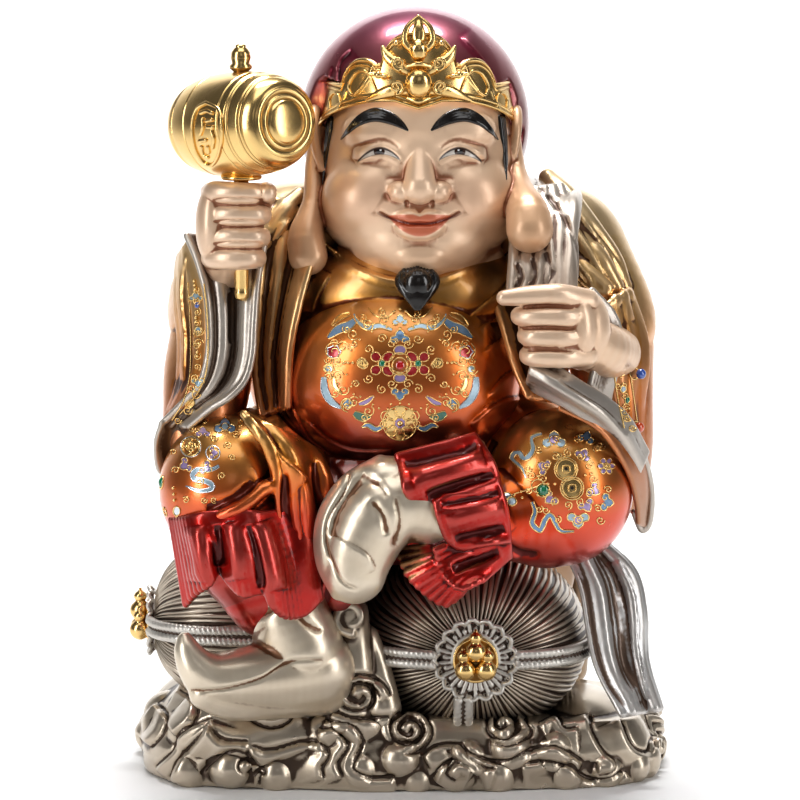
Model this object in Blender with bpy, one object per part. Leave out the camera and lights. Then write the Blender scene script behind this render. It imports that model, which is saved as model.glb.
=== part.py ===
"""A seated mahakala statue in painted cast resin, with its gilded mallet, crown and set stones.

The figure, its two rice bales and the cloud base are one casting. It is modelled as clay: rounded lumps
and limbs are pressed together, fused to one skin, smoothed and thinned to flat facets. The loose fittings
are separate solids that sit in seats cut into the casting.

Metres, +Z up. The figure faces -Y and the origin is under the middle of the base.
"""

import math

import bmesh
import bpy
import numpy as np
from mathutils import Euler, Matrix, Vector
from mathutils.bvhtree import BVHTree

# Driving sizes
STATUE_HEIGHT = 0.380
SEAT_GAP = 0.0004

MALLET_LENGTH = 0.070
MALLET_BELLY_RADIUS = 0.0255
MALLET_FACE_RADIUS = 0.0172
MALLET_COLLAR_RADIUS = 0.0100
MALLET_COLLAR_HEIGHT = 0.0030
HANDLE_RADIUS = 0.0036
HANDLE_TIP_BELOW_FIST = 0.0145
KNOB_RADIUS = 0.0050
KNOB_HEIGHT = 0.0130

CROWN_THICKNESS = 0.0022

GOURD_RADIUS = 0.0054
GOURD_PLATE_RADIUS = 0.0115
GOURD_PLATE_THICKNESS = 0.0016

BELLY_STONE_RADIUS = 0.0033
KNEE_STONE_RADIUS = 0.0029
TASSEL_STONE_RADIUS = 0.0020
SLEEVE_STONE_RADIUS = 0.0026
STONE_DEPTH = 0.0022

# The figure's pose is drawn on a grid of 380 steps to its height, so a step is 1 mm at 0.380 m.
STEP = STATUE_HEIGHT / 380.0

# The casting's skin, whose points lie 1.6 steps of the grid apart
CLAY_VOXEL = 1.6 * STEP
CLAY_SMOOTHING = 5
CASTING_TRIANGLES = 6500


def at(x, y, z):
    """A place on the figure's grid, in metres."""
    return Vector((x, y, z)) * STEP


# Clay tools


class Clay:
    """Closed shapes that will be fused: frills and bales as a bmesh, and lumps as stamped copies of a round ball."""

    def __init__(self):
        self.shapes = bmesh.new()
        self.lumps = {}

    def stamp(self, place, detail):
        self.lumps.setdefault(detail, []).append(place)

    def mesh(self, name):
        """All of it in one mesh. The many copies of a ball are placed with numpy, because bmesh slows as it grows."""
        bmesh.ops.recalc_face_normals(self.shapes, faces=self.shapes.faces)
        bmesh.ops.triangulate(self.shapes, faces=self.shapes.faces)
        points = [np.array([vert.co for vert in self.shapes.verts]).reshape(-1, 3)]
        self.shapes.verts.index_update()
        corners = [np.array([[v.index for v in face.verts] for face in self.shapes.faces], int).reshape(-1, 3)]
        self.shapes.free()
        count = len(points[0])
        for detail, places in self.lumps.items():
            form = bmesh.new()
            bmesh.ops.create_icosphere(form, subdivisions=detail, radius=1.0)
            round_points = np.array([vert.co for vert in form.verts])
            round_faces = np.array([[v.index for v in face.verts] for face in form.faces])
            form.free()
            matrices = np.array(places)
            moved = np.einsum("nij,pj->npi", matrices[:, :3, :3], round_points) + matrices[:, None, :3, 3]
            starts = count + len(round_points) * np.arange(len(places))
            points.append(moved.reshape(-1, 3))
            corners.append((round_faces[None] + starts[:, None, None]).reshape(-1, 3))
            count += moved.shape[0] * moved.shape[1]
        mesh = bpy.data.meshes.new(name)
        mesh.from_pydata(np.concatenate(points), [], np.concatenate(corners).tolist())
        return mesh


def fineness(radius):
    """Subdivisions that keep a ball of this radius round: 1 for a bead, 4 for the belly."""
    return max(1, min(4, round(math.log2(max(radius, 1.0)) - 1.4)))


def ball(clay, centre, radii, turn=(0.0, 0.0, 0.0)):
    """Adds an ellipsoid. Centre and radii are on the figure's grid, and turn is in degrees about X, Y and Z."""
    if isinstance(radii, (int, float)):
        radii = (radii, radii, radii)
    spin = Euler([math.radians(angle) for angle in turn])
    clay.stamp(Matrix.LocRotScale(at(*centre), spin, at(*radii)), fineness(max(radii)))


def smooth_stations(stations, spacing):
    """Stations (x, y, z, radius) along a smooth curve through the given ones, about spacing radii apart."""
    points = [Vector(station) for station in stations]
    ends = [2 * points[0] - points[1], 2 * points[-1] - points[-2]]
    chain = [ends[0], *points, ends[1]]
    found = []
    for before, start, end, after in zip(chain, chain[1:], chain[2:], chain[3:]):
        length = (end.xyz - start.xyz).length
        steps = max(1, math.ceil(length / (spacing * min(start.w, end.w))))
        for step in range(steps):
            t = step / steps
            found.append(
                0.5
                * (
                    2 * start
                    + (end - before) * t
                    + (2 * before - 5 * start + 4 * end - after) * t**2
                    + (3 * start - before - 3 * end + after) * t**3
                )
            )
    return [*found, points[-1]]


def limb(clay, *stations, flat=1.0, facing=None, spacing=0.4):
    """Adds a round limb through stations (x, y, z, radius). With facing it is a strap, flat times as thick along it."""
    turn = Vector(facing or (0, 0, 1)).to_track_quat("Z", "Y")
    for station in smooth_stations(stations, spacing):
        radius = station.w
        clay.stamp(Matrix.LocRotScale(at(*station.xyz), turn, at(radius, radius, radius * flat)), fineness(radius))


def flare(clay, throat, mouth, throat_radii, mouth_radii, across, waves, ripple, wall, phase=0.0):
    """Adds a flared frill of cloth from throat to mouth, whose hem ripples. across is one axis of its rings."""
    way = (Vector(mouth) - Vector(throat)).normalized()
    side = Vector(across).normalized()
    rise = way.cross(side).normalized()
    side = rise.cross(way).normalized()
    around, along = 72, 7

    def ring(share, inward):
        made = bmesh.ops.create_circle(clay.shapes, segments=around, radius=1.0)["verts"]
        centre = Vector(throat).lerp(Vector(mouth), share)
        for index, vert in enumerate(made):
            angle = 2 * math.pi * index / around
            swell = share**1.6
            wide = throat_radii[0] + (mouth_radii[0] - throat_radii[0]) * swell - inward
            tall = throat_radii[1] + (mouth_radii[1] - throat_radii[1]) * swell - inward
            wave = ripple * share**1.3 * math.sin(waves * angle + phase)
            wave += 0.35 * ripple * share**1.3 * math.sin((2 * waves + 1) * angle + 1.3 + phase)
            reach = 0.55 * ripple * share**2 * math.cos(waves * angle + phase + 0.8)
            vert.co = at(
                *(centre + side * (wide + wave) * math.cos(angle) + rise * (tall + wave) * math.sin(angle) + way * reach)
            )
        return ring_edges(made)

    outside = [ring(step / along, 0.0) for step in range(along + 1)]
    inside = [ring(step / along, wall) for step in range(along + 1)]
    for loops in (outside, inside):
        for first, second in zip(loops, loops[1:]):
            bmesh.ops.bridge_loops(clay.shapes, edges=[*first, *second])
    bmesh.ops.bridge_loops(clay.shapes, edges=[*outside[0], *inside[0]])
    bmesh.ops.bridge_loops(clay.shapes, edges=[*outside[-1], *inside[-1]])


def ring_edges(verts):
    """The edges that join these vertices to each other."""
    chosen = set(verts)
    return [edge for edge in {e for v in verts for e in v.link_edges} if chosen.issuperset(edge.verts)]


def curl(clay, centre, across, up, size, turns=1.4, hand=1, thick=0.30):
    """Adds a cloud scroll: a spiral roll around a small bead, lying in the plane of across and up."""
    across = Vector(across).normalized()
    up = Vector(up).normalized()
    steps = 12
    stations = []
    for step in range(steps + 1):
        share = step / steps
        angle = hand * 2 * math.pi * turns * share - math.pi / 2
        reach = size * (1 - 0.78 * share)
        place = Vector(centre) + across * reach * math.cos(angle) + up * reach * math.sin(angle)
        stations.append((*place, size * thick * (1 - 0.35 * share)))
    limb(clay, *stations, spacing=0.5)


def object_of(name, clay):
    """A new object that holds this clay."""
    made = bpy.data.objects.new(name, clay.mesh(name))
    bpy.context.scene.collection.objects.link(made)
    return made


def modifier(owner, kind, **settings):
    made = owner.modifiers.new(kind.title(), kind)
    for key, value in settings.items():
        setattr(made, key, value)
    return made


def settle(owner):
    """Puts the result of the object's modifiers into its mesh."""
    graph = bpy.context.evaluated_depsgraph_get()
    mesh = bpy.data.meshes.new_from_object(owner.evaluated_get(graph))
    owner.modifiers.clear()
    owner.data = mesh


def paint(owner, colour, roughness, metallic):
    """Gives the object its own material."""
    material = bpy.data.materials.new(owner.name)
    material.use_nodes = True
    shader = material.node_tree.nodes["Principled BSDF"]
    shader.inputs["Base Color"].default_value = (*colour, 1.0)
    shader.inputs["Roughness"].default_value = roughness
    shader.inputs["Metallic"].default_value = metallic
    owner.data.materials.clear()
    owner.data.materials.append(material)


# The casting, from the ground up

BASE_HALF_WIDTH = 131.0
BASE_HALF_DEPTH = 77.0
FRONT_BALE = {"centre": (37.0, -8.0, 65.0), "radii": (57.0, 46.0), "half_length": 62.0, "axis": (0, -1, 0), "cap": 19.0}
SIDE_BALE = {"centre": (-70.0, 0.0, 72.0), "radii": (46.0, 41.0), "half_length": 54.0, "axis": (-1, 0, 0), "cap": 16.0}


def base_rim(degrees, height=0.0, out=0.0):
    """A point of the base's side on the figure's grid. Degrees run from the middle of the front towards +X."""
    squareness = 3.2
    angle = math.radians(degrees - 90.0)
    c, s = math.cos(angle), math.sin(angle)
    reach = (abs(c) ** squareness + abs(s) ** squareness) ** (-1 / squareness)
    reach *= 1 + 0.012 * math.sin(7 * angle) + 0.010 * math.cos(11 * angle)
    out -= 0.022 * max(0.0, height - 12.0) ** 2 + 0.03 * max(0.0, 6.0 - height) ** 2
    return Vector((c * reach * (BASE_HALF_WIDTH + out), s * reach * (BASE_HALF_DEPTH + out), height))


# Cloud scrolls of the base: degrees and height of the eye, its size and hand, then the degrees and heights of its tail
SCROLLS = (
    (-29, 33, 13, 1, (-41, 22), (-52, 26), (-66, 12)),
    (-37, 10, 9, -1, (-24, 7), (-13, 15)),
    (-10, 32, 10, 1, (2, 27), (13, 20)),
    (0, 17, 9, -1, (12, 20), (22, 11)),
    (13, 8, 8, 1, (24, 6), (35, 15)),
    (25, 22, 9, -1, (37, 27), (50, 14), (63, 22)),
    (45, 8, 7, 1, (54, 6), (64, 9)),
    (71, 12, 9, -1, (82, 22), (94, 13)),
    (97, 25, 10, 1, (110, 14), (122, 8)),
    (127, 13, 9, -1, (140, 23), (152, 13)),
    (158, 25, 10, 1, (170, 13), (182, 9)),
    (188, 12, 9, -1, (200, 24), (212, 15)),
    (217, 24, 10, 1, (229, 12), (241, 9)),
    (247, 13, 9, -1, (259, 24), (271, 13)),
    (276, 27, 11, 1, (288, 15), (299, 8)),
)


def cloud_base(clay):
    """A low bank of clouds: a lofted block whose side and top carry puffs and scrolls."""
    around = 72
    loops = []
    for height in (-3.0, 3.0, 10.0, 17.0, 24.0, 30.0, 35.0):
        made = bmesh.ops.create_circle(clay.shapes, segments=around, radius=1.0, cap_ends=height in (-3.0, 35.0))["verts"]
        for index, vert in enumerate(made):
            degrees = 360.0 * index / around
            rise = 1 - 0.16 * math.sin(math.radians(degrees))
            vert.co = at(*base_rim(degrees, height * (rise if height > 20 else 1.0), -4.0))
        loops.append(ring_edges(made))
    for first, second in zip(loops, loops[1:]):
        bmesh.ops.bridge_loops(clay.shapes, edges=[*first, *second])
    # The bank rises under the boot, beside the front bale and behind.
    ball(clay, (-66, -44, 24), (50, 30, 23))
    ball(clay, (-84, 0, 24), (30, 46, 20))
    ball(clay, (90, -10, 20), (26, 44, 20))
    ball(clay, (0, 44, 24), (96, 26, 18))
    limb(clay, (-25, -60, 36, 12), (-21, -64, 56, 9), (-23, -62, 74, 8), (-25, -62, 88, 9))
    curl(clay, (-24, -70, 86), (1, 0, 0), (0, 0.1, 1), 8.5, hand=-1)
    limb(clay, (-8, -66, 40, 8), (-10, -60, 58, 6), (-16, -58, 74, 5))
    for degrees, height, size, hand, *tail in SCROLLS:
        eye = base_rim(degrees, height, 0.5)
        along = base_rim(degrees + 2) - base_rim(degrees - 2)
        lean = Vector((0, 0, 1)) - 0.035 * max(0.0, height - 12.0) * base_rim(degrees).normalized()
        ball(clay, eye - eye.normalized() * size, size * 1.05)
        curl(clay, eye, along, lean, size, hand=hand)
        way = math.copysign(1.0, tail[0][0] - degrees)
        for drop, thick in ((-0.5, 0.36), (0.35, 0.30), (1.1, 0.26)):
            stations = [(*base_rim(degrees + way * size * 0.35, height - drop * size, -0.5), thick * size)]
            for step, (turn, level) in enumerate(tail):
                thinner = thick * size * (1 - 0.28 * (step + 1))
                stations.append((*base_rim(turn, max(3.0, level - 0.6 * drop * size), -0.5), thinner))
            limb(clay, *stations)


def bale_side_way(axis):
    """The level direction across a bale that lies along axis."""
    return Vector((0, 0, 1)).cross(Vector(axis))


def bale(clay, centre, radii, half_length, axis, cap):
    """A straw bale lying along axis, drawn in at its ends, with a frilled cap on its shown end."""
    way, side, rise = Vector(axis), bale_side_way(axis), Vector((0, 0, 1))
    steps, around = 16, 40
    loops = []
    for step in range(steps + 1):
        share = -math.cos(math.pi * step / steps)
        reach = max(0.04, 1 - abs(share) ** 3.0) ** (1 / 2.4)
        ends = step in (0, steps)
        made = bmesh.ops.create_circle(clay.shapes, segments=around, radius=1.0, cap_ends=ends)["verts"]
        for index, vert in enumerate(made):
            angle = 2 * math.pi * index / around
            spot = side * radii[0] * reach * math.cos(angle) + rise * radii[1] * reach * math.sin(angle)
            vert.co = at(*(Vector(centre) + way * half_length * share + spot))
        loops.append(ring_edges(made))
    for first, second in zip(loops, loops[1:]):
        bmesh.ops.bridge_loops(clay.shapes, edges=[*first, *second])
    end = Vector(centre) + way * (half_length - 2.0)
    frills = 18
    for index in range(frills):
        angle = 2 * math.pi * index / frills
        ball(clay, end + (side * math.cos(angle) + rise * math.sin(angle)) * cap, 3.2)
    ball(clay, end, [cap if abs(part) < 0.5 else 5.0 for part in way])


def rope_pair(clay, apart, *stations):
    """Two ropes laid side by side along stations (x, y, z, radius)."""
    for offset in (-0.5, 0.5):
        limb(clay, *[(*(Vector(s[:3]) + Vector(apart) * offset), s[3]) for s in stations], spacing=0.6)


def bales(clay):
    bale(clay, **FRONT_BALE)
    bale(clay, **SIDE_BALE)
    x, y, z = FRONT_BALE["centre"]
    wide, tall = FRONT_BALE["radii"]
    front = y - FRONT_BALE["half_length"]
    for hand in (-1, 1):
        rope_pair(clay, (0, 0, 5), (x + hand * 19, front - 1, z, 2.4), (x + hand * 36, front + 4, z, 2.4),
                  (x + hand * 50, front + 16, z, 2.4), (x + hand * (wide + 1), y, z, 2.4))
    rope_pair(clay, (5, 0, 0), (x - 6, front - 1, z - 19, 2.4), (x - 6, front + 4, z - 31, 2.4),
              (x - 6, front + 15, z - 41, 2.4))
    x, y, z = SIDE_BALE["centre"]
    left = x - SIDE_BALE["half_length"]
    deep = SIDE_BALE["radii"][0]
    rope_pair(clay, (0, 0, 5), (left - 1, y - 14, z, 2.4), (left + 5, y - 30, z, 2.4),
              (left + 18, y - 41, z, 2.4), (x, y - deep - 1, z, 2.4))


def boots(clay):
    # The right boot stands on the clouds, its toe turned up.
    limb(clay, (-56, -64, 104, 16), (-56, -68, 86, 18), (-50, -68, 68, 19))
    limb(clay, (-46, -66, 62, 18), (-62, -74, 61, 16), (-80, -82, 57, 12.5), (-93, -87, 56, 10),
         (-100, -90, 62, 7), (-103, -90, 69, 4))
    limb(clay, (-42, -66, 50, 18), (-65, -76, 48, 16), (-86, -85, 47, 13), (-98, -90, 49, 9),
         (-104, -91, 56, 6), flat=0.28, facing=(0, 0, 1))
    # The left boot lies across, its toe hanging down.
    limb(clay, (42, -80, 138, 17), (18, -90, 142, 17), (-4, -95, 147, 18), (-16, -97, 134, 17), (-23, -98, 119, 14.5))
    ball(clay, (-8, -92, 156), (15, 13, 14))
    limb(clay, (-10, -90, 166, 7), (-26, -93, 154, 8), (-34, -95, 138, 9), (-35, -96, 122, 9), (-28, -97, 108, 8),
         flat=0.5, facing=(-1, -0.2, 0.2))


def trousers(clay):
    limb(clay, (-28, 12, 150, 40), (-56, -28, 152, 36), (-82, -58, 150, 33))
    ball(clay, (-84, -60, 148), (34, 37, 36))
    limb(clay, (-82, -58, 138, 30), (-72, -62, 116, 24), (-68, -64, 102, 20))
    limb(clay, (34, 12, 150, 40), (58, -28, 152, 37), (76, -58, 150, 35))
    ball(clay, (78, -60, 149), (36, 38, 39))
    limb(clay, (72, -66, 140, 30), (52, -76, 138, 22), (36, -84, 136, 18))
    limb(clay, (-50, -40, 176, 12), (-42, -62, 150, 13), (-38, -68, 122, 12), (-30, -66, 96, 9))
    limb(clay, (-34, -58, 160, 8), (-22, -66, 140, 7), (-24, -68, 110, 6))
    ball(clay, (0, -30, 140), (60, 50, 34))
    flare(clay, (-74, -62, 122), (-70, -68, 93), (25, 24), (32, 27), (1, 0, 0), 5, 4.2, 3.8, 0.6)
    flare(clay, (50, -76, 138), (15, -92, 130), (18, 24), (20, 38), (0, 1, 0), 4, 5.5, 3.8, 2.2)


def body(clay):
    ball(clay, (-6, -42, 200), (52, 46, 47))
    ball(clay, *CHEST)
    ball(clay, (4, 22, 205), (82, 46, 84))
    ball(clay, (2, 24, 140), (92, 48, 44))
    limb(clay, (-40, 50, 140, 26), (0, 58, 130, 26), (44, 50, 138, 26))
    # The seat of the robe falls over the bales behind, in folds.
    ball(clay, (6, 42, 96), (84, 30, 74))
    for index in range(9):
        x = -72 + 19.5 * index
        sway = 3 * math.sin(2.1 * index)
        limb(clay, (x * 0.72, 52, 176, 11), (x * 0.95 + sway, 64, 130, 11), (x * 1.04 - sway, 67 + sway, 80, 10.5),
             (x * 1.08 + sway, 65 - sway, 34, 10))


def sleeves(clay):
    # The right arm is raised: upper arm, elbow, then the forearm up to the fist.
    ball(clay, (-52, 2, 262), (34, 34, 31))
    limb(clay, (-56, 6, 258, 30), (-84, 8, 238, 28), (-90, -8, 226, 25), (-90, -36, 236, 19), (-88, -46, 250, 15))
    limb(clay, (-93, -8, 222, 20), (-95, -28, 200, 22), (-97, -44, 184, 21), (-102, -50, 172, 16))
    limb(clay, (-80, -34, 236, 16), (-80, -44, 214, 20), (-82, -50, 194, 20), (-92, -54, 180, 16))
    # The left arm is bent across to the sack's neck.
    ball(clay, (78, -2, 256), (35, 33, 36))
    limb(clay, (82, 0, 256, 32), (102, -16, 226, 25), (100, -44, 222, 20), (94, -62, 226, 15))
    limb(clay, (104, -20, 212, 22), (106, -36, 190, 20), (108, -34, 164, 17), (110, -28, 142, 12))
    limb(clay, (92, -50, 206, 18), (100, -54, 190, 16), (108, -50, 174, 13))


def sleeve_rims(clay):
    """The rolled edges of the wide sleeves."""
    limb(clay, (-101, -46, 268, 3), (-99, -58, 247, 4), (-89, -68, 222, 4), (-86, -70, 203, 4),
         (-92, -68, 188, 4), (-105, -62, 174, 4), (-118, -56, 165, 3.5))
    limb(clay, (-70, -56, 240, 3.5), (-67, -64, 222, 4), (-70, -68, 203, 4), (-79, -70, 190, 4), (-96, -72, 178, 4))
    limb(clay, (64, -84, 212, 4), (78, -84, 198, 5), (98, -78, 184, 5.5), (118, -64, 168, 5))
    limb(clay, (96, -72, 243, 4), (108, -68, 228, 5), (114, -62, 208, 5), (119, -56, 180, 5))
    limb(clay, (80, -74, 192, 5), (104, -74, 176, 6), (119, -54, 156, 6), (121, -40, 136, 5), (112, -40, 124, 4))


def sleeve_mouths(cutter):
    """The hollows of the two sleeve mouths, to be cut from the casting."""
    limb(cutter, (-82, -68, 236, 8), (-78, -72, 218, 9), (-78, -74, 202, 9), (-88, -74, 188, 8), (-102, -68, 176, 6))
    limb(cutter, (100, -72, 214, 6), (105, -73, 202, 6), (109, -71, 190, 5))


RIGHT_GRIP = (-77.0, -62.0)
FIST_TOP = 300.0
FIST_FOOT = 256.0


def hands(clay):
    # Right fist around the mallet's handle.
    hx, hy = RIGHT_GRIP
    ball(clay, (hx - 9, hy + 4, 274), (14, 12, 23))
    for z, reach in ((293, 0.0), (282, 1.0), (271.5, 0.5), (261.5, -1.5)):
        limb(clay, (hx - 19, hy + 4, z - 1, 6.2), (hx - 15, hy - 6, z, 6.3), (hx - 3, hy - 10, z, 6.2),
             (hx + 10 + reach, hy - 8, z, 6.0), (hx + 14 + reach, hy - 1, z - 0.5, 5.6), (hx + 8, hy + 3, z - 1, 5.2))
    limb(clay, (hx + 2, hy + 8, 278, 9), (hx + 11, hy + 5, 288, 7), (hx + 16, hy - 2, 293, 6.2))
    limb(clay, (hx - 10, hy + 4, 262, 13), (hx - 12, hy + 8, 252, 12), (hx - 13, hy + 16, 242, 12))
    # Left fist around the sack's neck.
    ball(clay, (88, -78, 229), (14, 12, 20))
    limb(clay, (90, -82, 243, 6.5), (76, -90, 247, 5.8), (62, -92, 247, 5.2), (50, -92, 246, 4.2))
    for z, tip in ((236.5, 58), (227, 61), (217.5, 62)):
        limb(clay, (90, -84, z, 6.2), (78, -92, z, 6.0), (66, -92, z, 5.8), (tip, -87, z, 5.2), (tip + 2, -80, z, 4.8))
    ball(clay, (72, -78, 230), (15, 9, 16))
    limb(clay, (88, -76, 224, 13), (98, -66, 218, 13), (104, -52, 214, 14))


HEAD = (9.5, -18.0, 301.0)


def head(clay):
    x, y, z = HEAD
    ball(clay, HEAD, (48, 47, 54))
    ball(clay, (x, y - 8, z - 17), (49, 42, 31))
    for hand in (-1, 1):
        ball(clay, (x + hand * 24, y - 23, z - 16), (24, 23, 21), turn=(0, hand * 15, 0))
        ball(clay, (x + hand * 19, y - 34, z + 15), (14, 10, 9))
    ball(clay, (x, y - 24, z - 34), (31, 26, 17))
    ball(clay, (x, y - 2, z - 44), (42, 36, 16))
    # Nose, lips and chin
    limb(clay, (x, y - 42, z + 16, 4.5), (x, y - 47, z + 5, 5.5), (x, y - 53, z - 5, 7))
    for hand in (-1, 1):
        ball(clay, (x + hand * 8.5, y - 48, z - 7), (6, 6, 4.8))
    limb(clay, (x - 18, y - 42, z - 14, 2.4), (x - 8, y - 48, z - 18.5, 3.2), (x, y - 50, z - 18.5, 3.0),
         (x + 8, y - 48, z - 18.5, 3.2), (x + 18, y - 42, z - 14, 2.4))
    limb(clay, (x - 11, y - 45, z - 22, 2.6), (x, y - 48.5, z - 25, 3.8), (x + 11, y - 45, z - 22, 2.6))
    ball(clay, (x, y - 41, z - 38), (15, 9, 9))
    # Ears with their long lobes
    limb(clay, (-40, -14, 318, 5), (-43, -26, 300, 6), (-44, -36, 284, 6), (-46, -42, 268, 9.5), (-45, -44, 261, 10))
    limb(clay, (55, -12, 322, 5), (56, -24, 304, 6), (58, -42, 294, 7), (62, -60, 282, 11), (63, -64, 276, 11.5))
    # Goatee
    limb(clay, (8, -65, 260, 5), (8, -70, 252, 8), (8, -71, 244, 5), (8, -72, 239, 2))


def hood(clay):
    ball(clay, (7, 0, 321), (54, 55, 59.5))
    ball(clay, (7, 22, 296), (50, 42, 50))
    for hand in (-1, 1):
        limb(clay, (7 + hand * 46, -14, 342, 8), (7 + hand * 49, -8, 322, 9), (7 + hand * 47, 0, 308, 8))


# The crown hugs the brow: its inner face is a cone around this upright line, on the figure's grid.
CROWN_AXIS = (9.0, -12.0)
CROWN_REACH = (45.0, 46.5)
CROWN_FOOT = 337.0
CROWN_LEAN = 0.20
CROWN_HALF_SPREAD = 82.0


def crown_outline(degrees):
    """The lowest and highest point of the crown at this angle from its middle, on the figure's grid."""
    spread = abs(degrees)
    low = CROWN_FOOT - 3.0 + 3.5 * min(1.0, spread / 14.0) - 15.0 * (max(0.0, spread - 22.0) / 60.0) ** 1.6
    middle = 356.0 + 15.5 * max(0.0, 1.0 - (spread / 25.0) ** 2.6) ** 0.5
    second = 345.0 + 13.0 * max(0.0, 1.0 - (abs(spread - 39.0) / 17.0) ** 2.2) ** 0.5
    third = 334.0 + 10.0 * max(0.0, 1.0 - (abs(spread - 65.0) / 17.0) ** 2.2) ** 0.5
    return low, max(middle if spread < 28 else 0.0, second, third, low + 11.0)


def crown_shell(shapes, inner, outer, margin=0.0, across=48, rise=6):
    """Adds the crown's band as a closed shell between two distances from its inner face, in metres."""
    sheets = []
    for reach in (inner, outer):
        made = bmesh.ops.create_grid(shapes, x_segments=across, y_segments=rise, size=0.5)["verts"]
        for vert in made:
            share, height = vert.co.x + 0.5, vert.co.y + 0.5
            degrees = (2 * share - 1) * (CROWN_HALF_SPREAD + math.degrees(margin / (CROWN_REACH[0] * STEP)))
            low, high = crown_outline(degrees)
            up = (low + (high - low) * height) * STEP + margin * (2 * height - 1)
            lean = CROWN_LEAN * (up - CROWN_FOOT * STEP)
            angle = math.radians(degrees)
            vert.co = (
                CROWN_AXIS[0] * STEP + (CROWN_REACH[0] * STEP - lean + reach) * math.sin(angle),
                CROWN_AXIS[1] * STEP - (CROWN_REACH[1] * STEP - lean + reach) * math.cos(angle),
                up,
            )
        chosen = set(made)
        sheets.append([e for e in {e for v in made for e in v.link_edges} if len(e.link_faces) == 1 and e.verts[0] in chosen])
    bmesh.ops.bridge_loops(shapes, edges=[*sheets[0], *sheets[1]])


def crown_bed(clay):
    """The part of the brow and hood that fills the space behind the crown."""
    crown_shell(clay.shapes, -14.0 * STEP, 0.2 * STEP, -0.5 * STEP)


def sack(clay):
    ball(clay, (8, 54, 232), (68, 34, 76))
    ball(clay, (0, 50, 200), (76, 36, 52))
    for index in range(5):
        x = 56 + 6.2 * index
        limb(clay, (x - 1, -76, 246, 4.2), (x + 1, -60, 266, 4.4), (x + 3, -36, 284, 4.8 + 0.2 * index),
             (x + 4, -8, 292 - index, 5.6), (x - 1, 22, 288 - index, 7), (x - 16, 46, 272, 10))


def sash(clay):
    """The robe's end that falls over the front bale to the clouds."""
    for shift, low in ((0, 0), (9, 4), (18, 2)):
        limb(clay, (84 + shift * 0.4, -30 - shift * 0.1, 118, 8), (92 + shift, -38, 96, 9),
             (96 + shift, -44, 68, 9), (103 + shift, -52, 46 + low, 7), (112 + shift * 0.7, -60, 36 + low, 4),
             flat=0.55, facing=(0.6, -0.8, 0.1))


CHEST = ((5.0, -20.0, 234.0), (60.0, 46.0, 40.0))


def chest_front(x, z):
    """How far forward the chest reaches at this place of the figure's grid."""
    (cx, cy, cz), (rx, ry, rz) = CHEST
    return cy - ry * math.sqrt(max(0.0, 1 - ((x - cx) / rx) ** 2 - ((z - cz) / rz) ** 2))


def collar(clay):
    """Folds of the tunic that hang below the chin."""
    for index in range(3):
        low = 243 - 6.5 * index
        half = 46 - 5 * index
        stations = []
        for step in range(9):
            share = step / 4 - 1
            x, z = 5 + half * share, low + 19 * share**2
            stations.append((x, chest_front(x, z) + 0.6, z, 2.8 * (1 - 0.4 * abs(share))))
        limb(clay, *stations)


FIGURE = (cloud_base, bales, boots, trousers, body, sleeves, sleeve_rims, hands, head, hood, crown_bed, sack, sash, collar)


# Loose fittings and the seats they need


def turned(shapes, profile, foot, way, sides):
    """Adds a solid turned from (radius, distance along way) points that start and end on the axis, in metres."""
    turn = Vector(way).to_track_quat("Z", "Y")
    place = Matrix.LocRotScale(Vector(foot), turn, None)
    verts = [shapes.verts.new(place @ Vector((radius, 0.0, along))) for radius, along in profile]
    edges = [shapes.edges.new(pair) for pair in zip(verts, verts[1:])]
    bmesh.ops.spin(shapes, geom=[*verts, *edges], angle=2 * math.pi, steps=sides, use_merge=True,
                   axis=turn @ Vector((0, 0, 1)), cent=Vector(foot))
    bmesh.ops.remove_doubles(shapes, verts=shapes.verts, dist=1e-6)


def cutter_of(name, clay):
    made = object_of(name, clay)
    made.hide_render = True
    made.display_type = "WIRE"
    return made


def grip_line():
    """The foot of the right fist on the handle's axis, in metres."""
    return at(*RIGHT_GRIP, FIST_FOOT)


def mallet_centre():
    rest = at(*RIGHT_GRIP, FIST_TOP).z + SEAT_GAP + MALLET_COLLAR_HEIGHT
    return Vector((*at(*RIGHT_GRIP, 0.0).xy, rest + 0.93 * MALLET_BELLY_RADIUS))


MALLET_WAY = (0.62, -0.77, 0.10)


def barrel_radius(along):
    """The mallet head's radius at this distance from its middle."""
    share = 2 * abs(along) / MALLET_LENGTH
    return MALLET_FACE_RADIUS + (MALLET_BELLY_RADIUS - MALLET_FACE_RADIUS) * math.sqrt(max(0.0, 1 - share**2.2))


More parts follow.
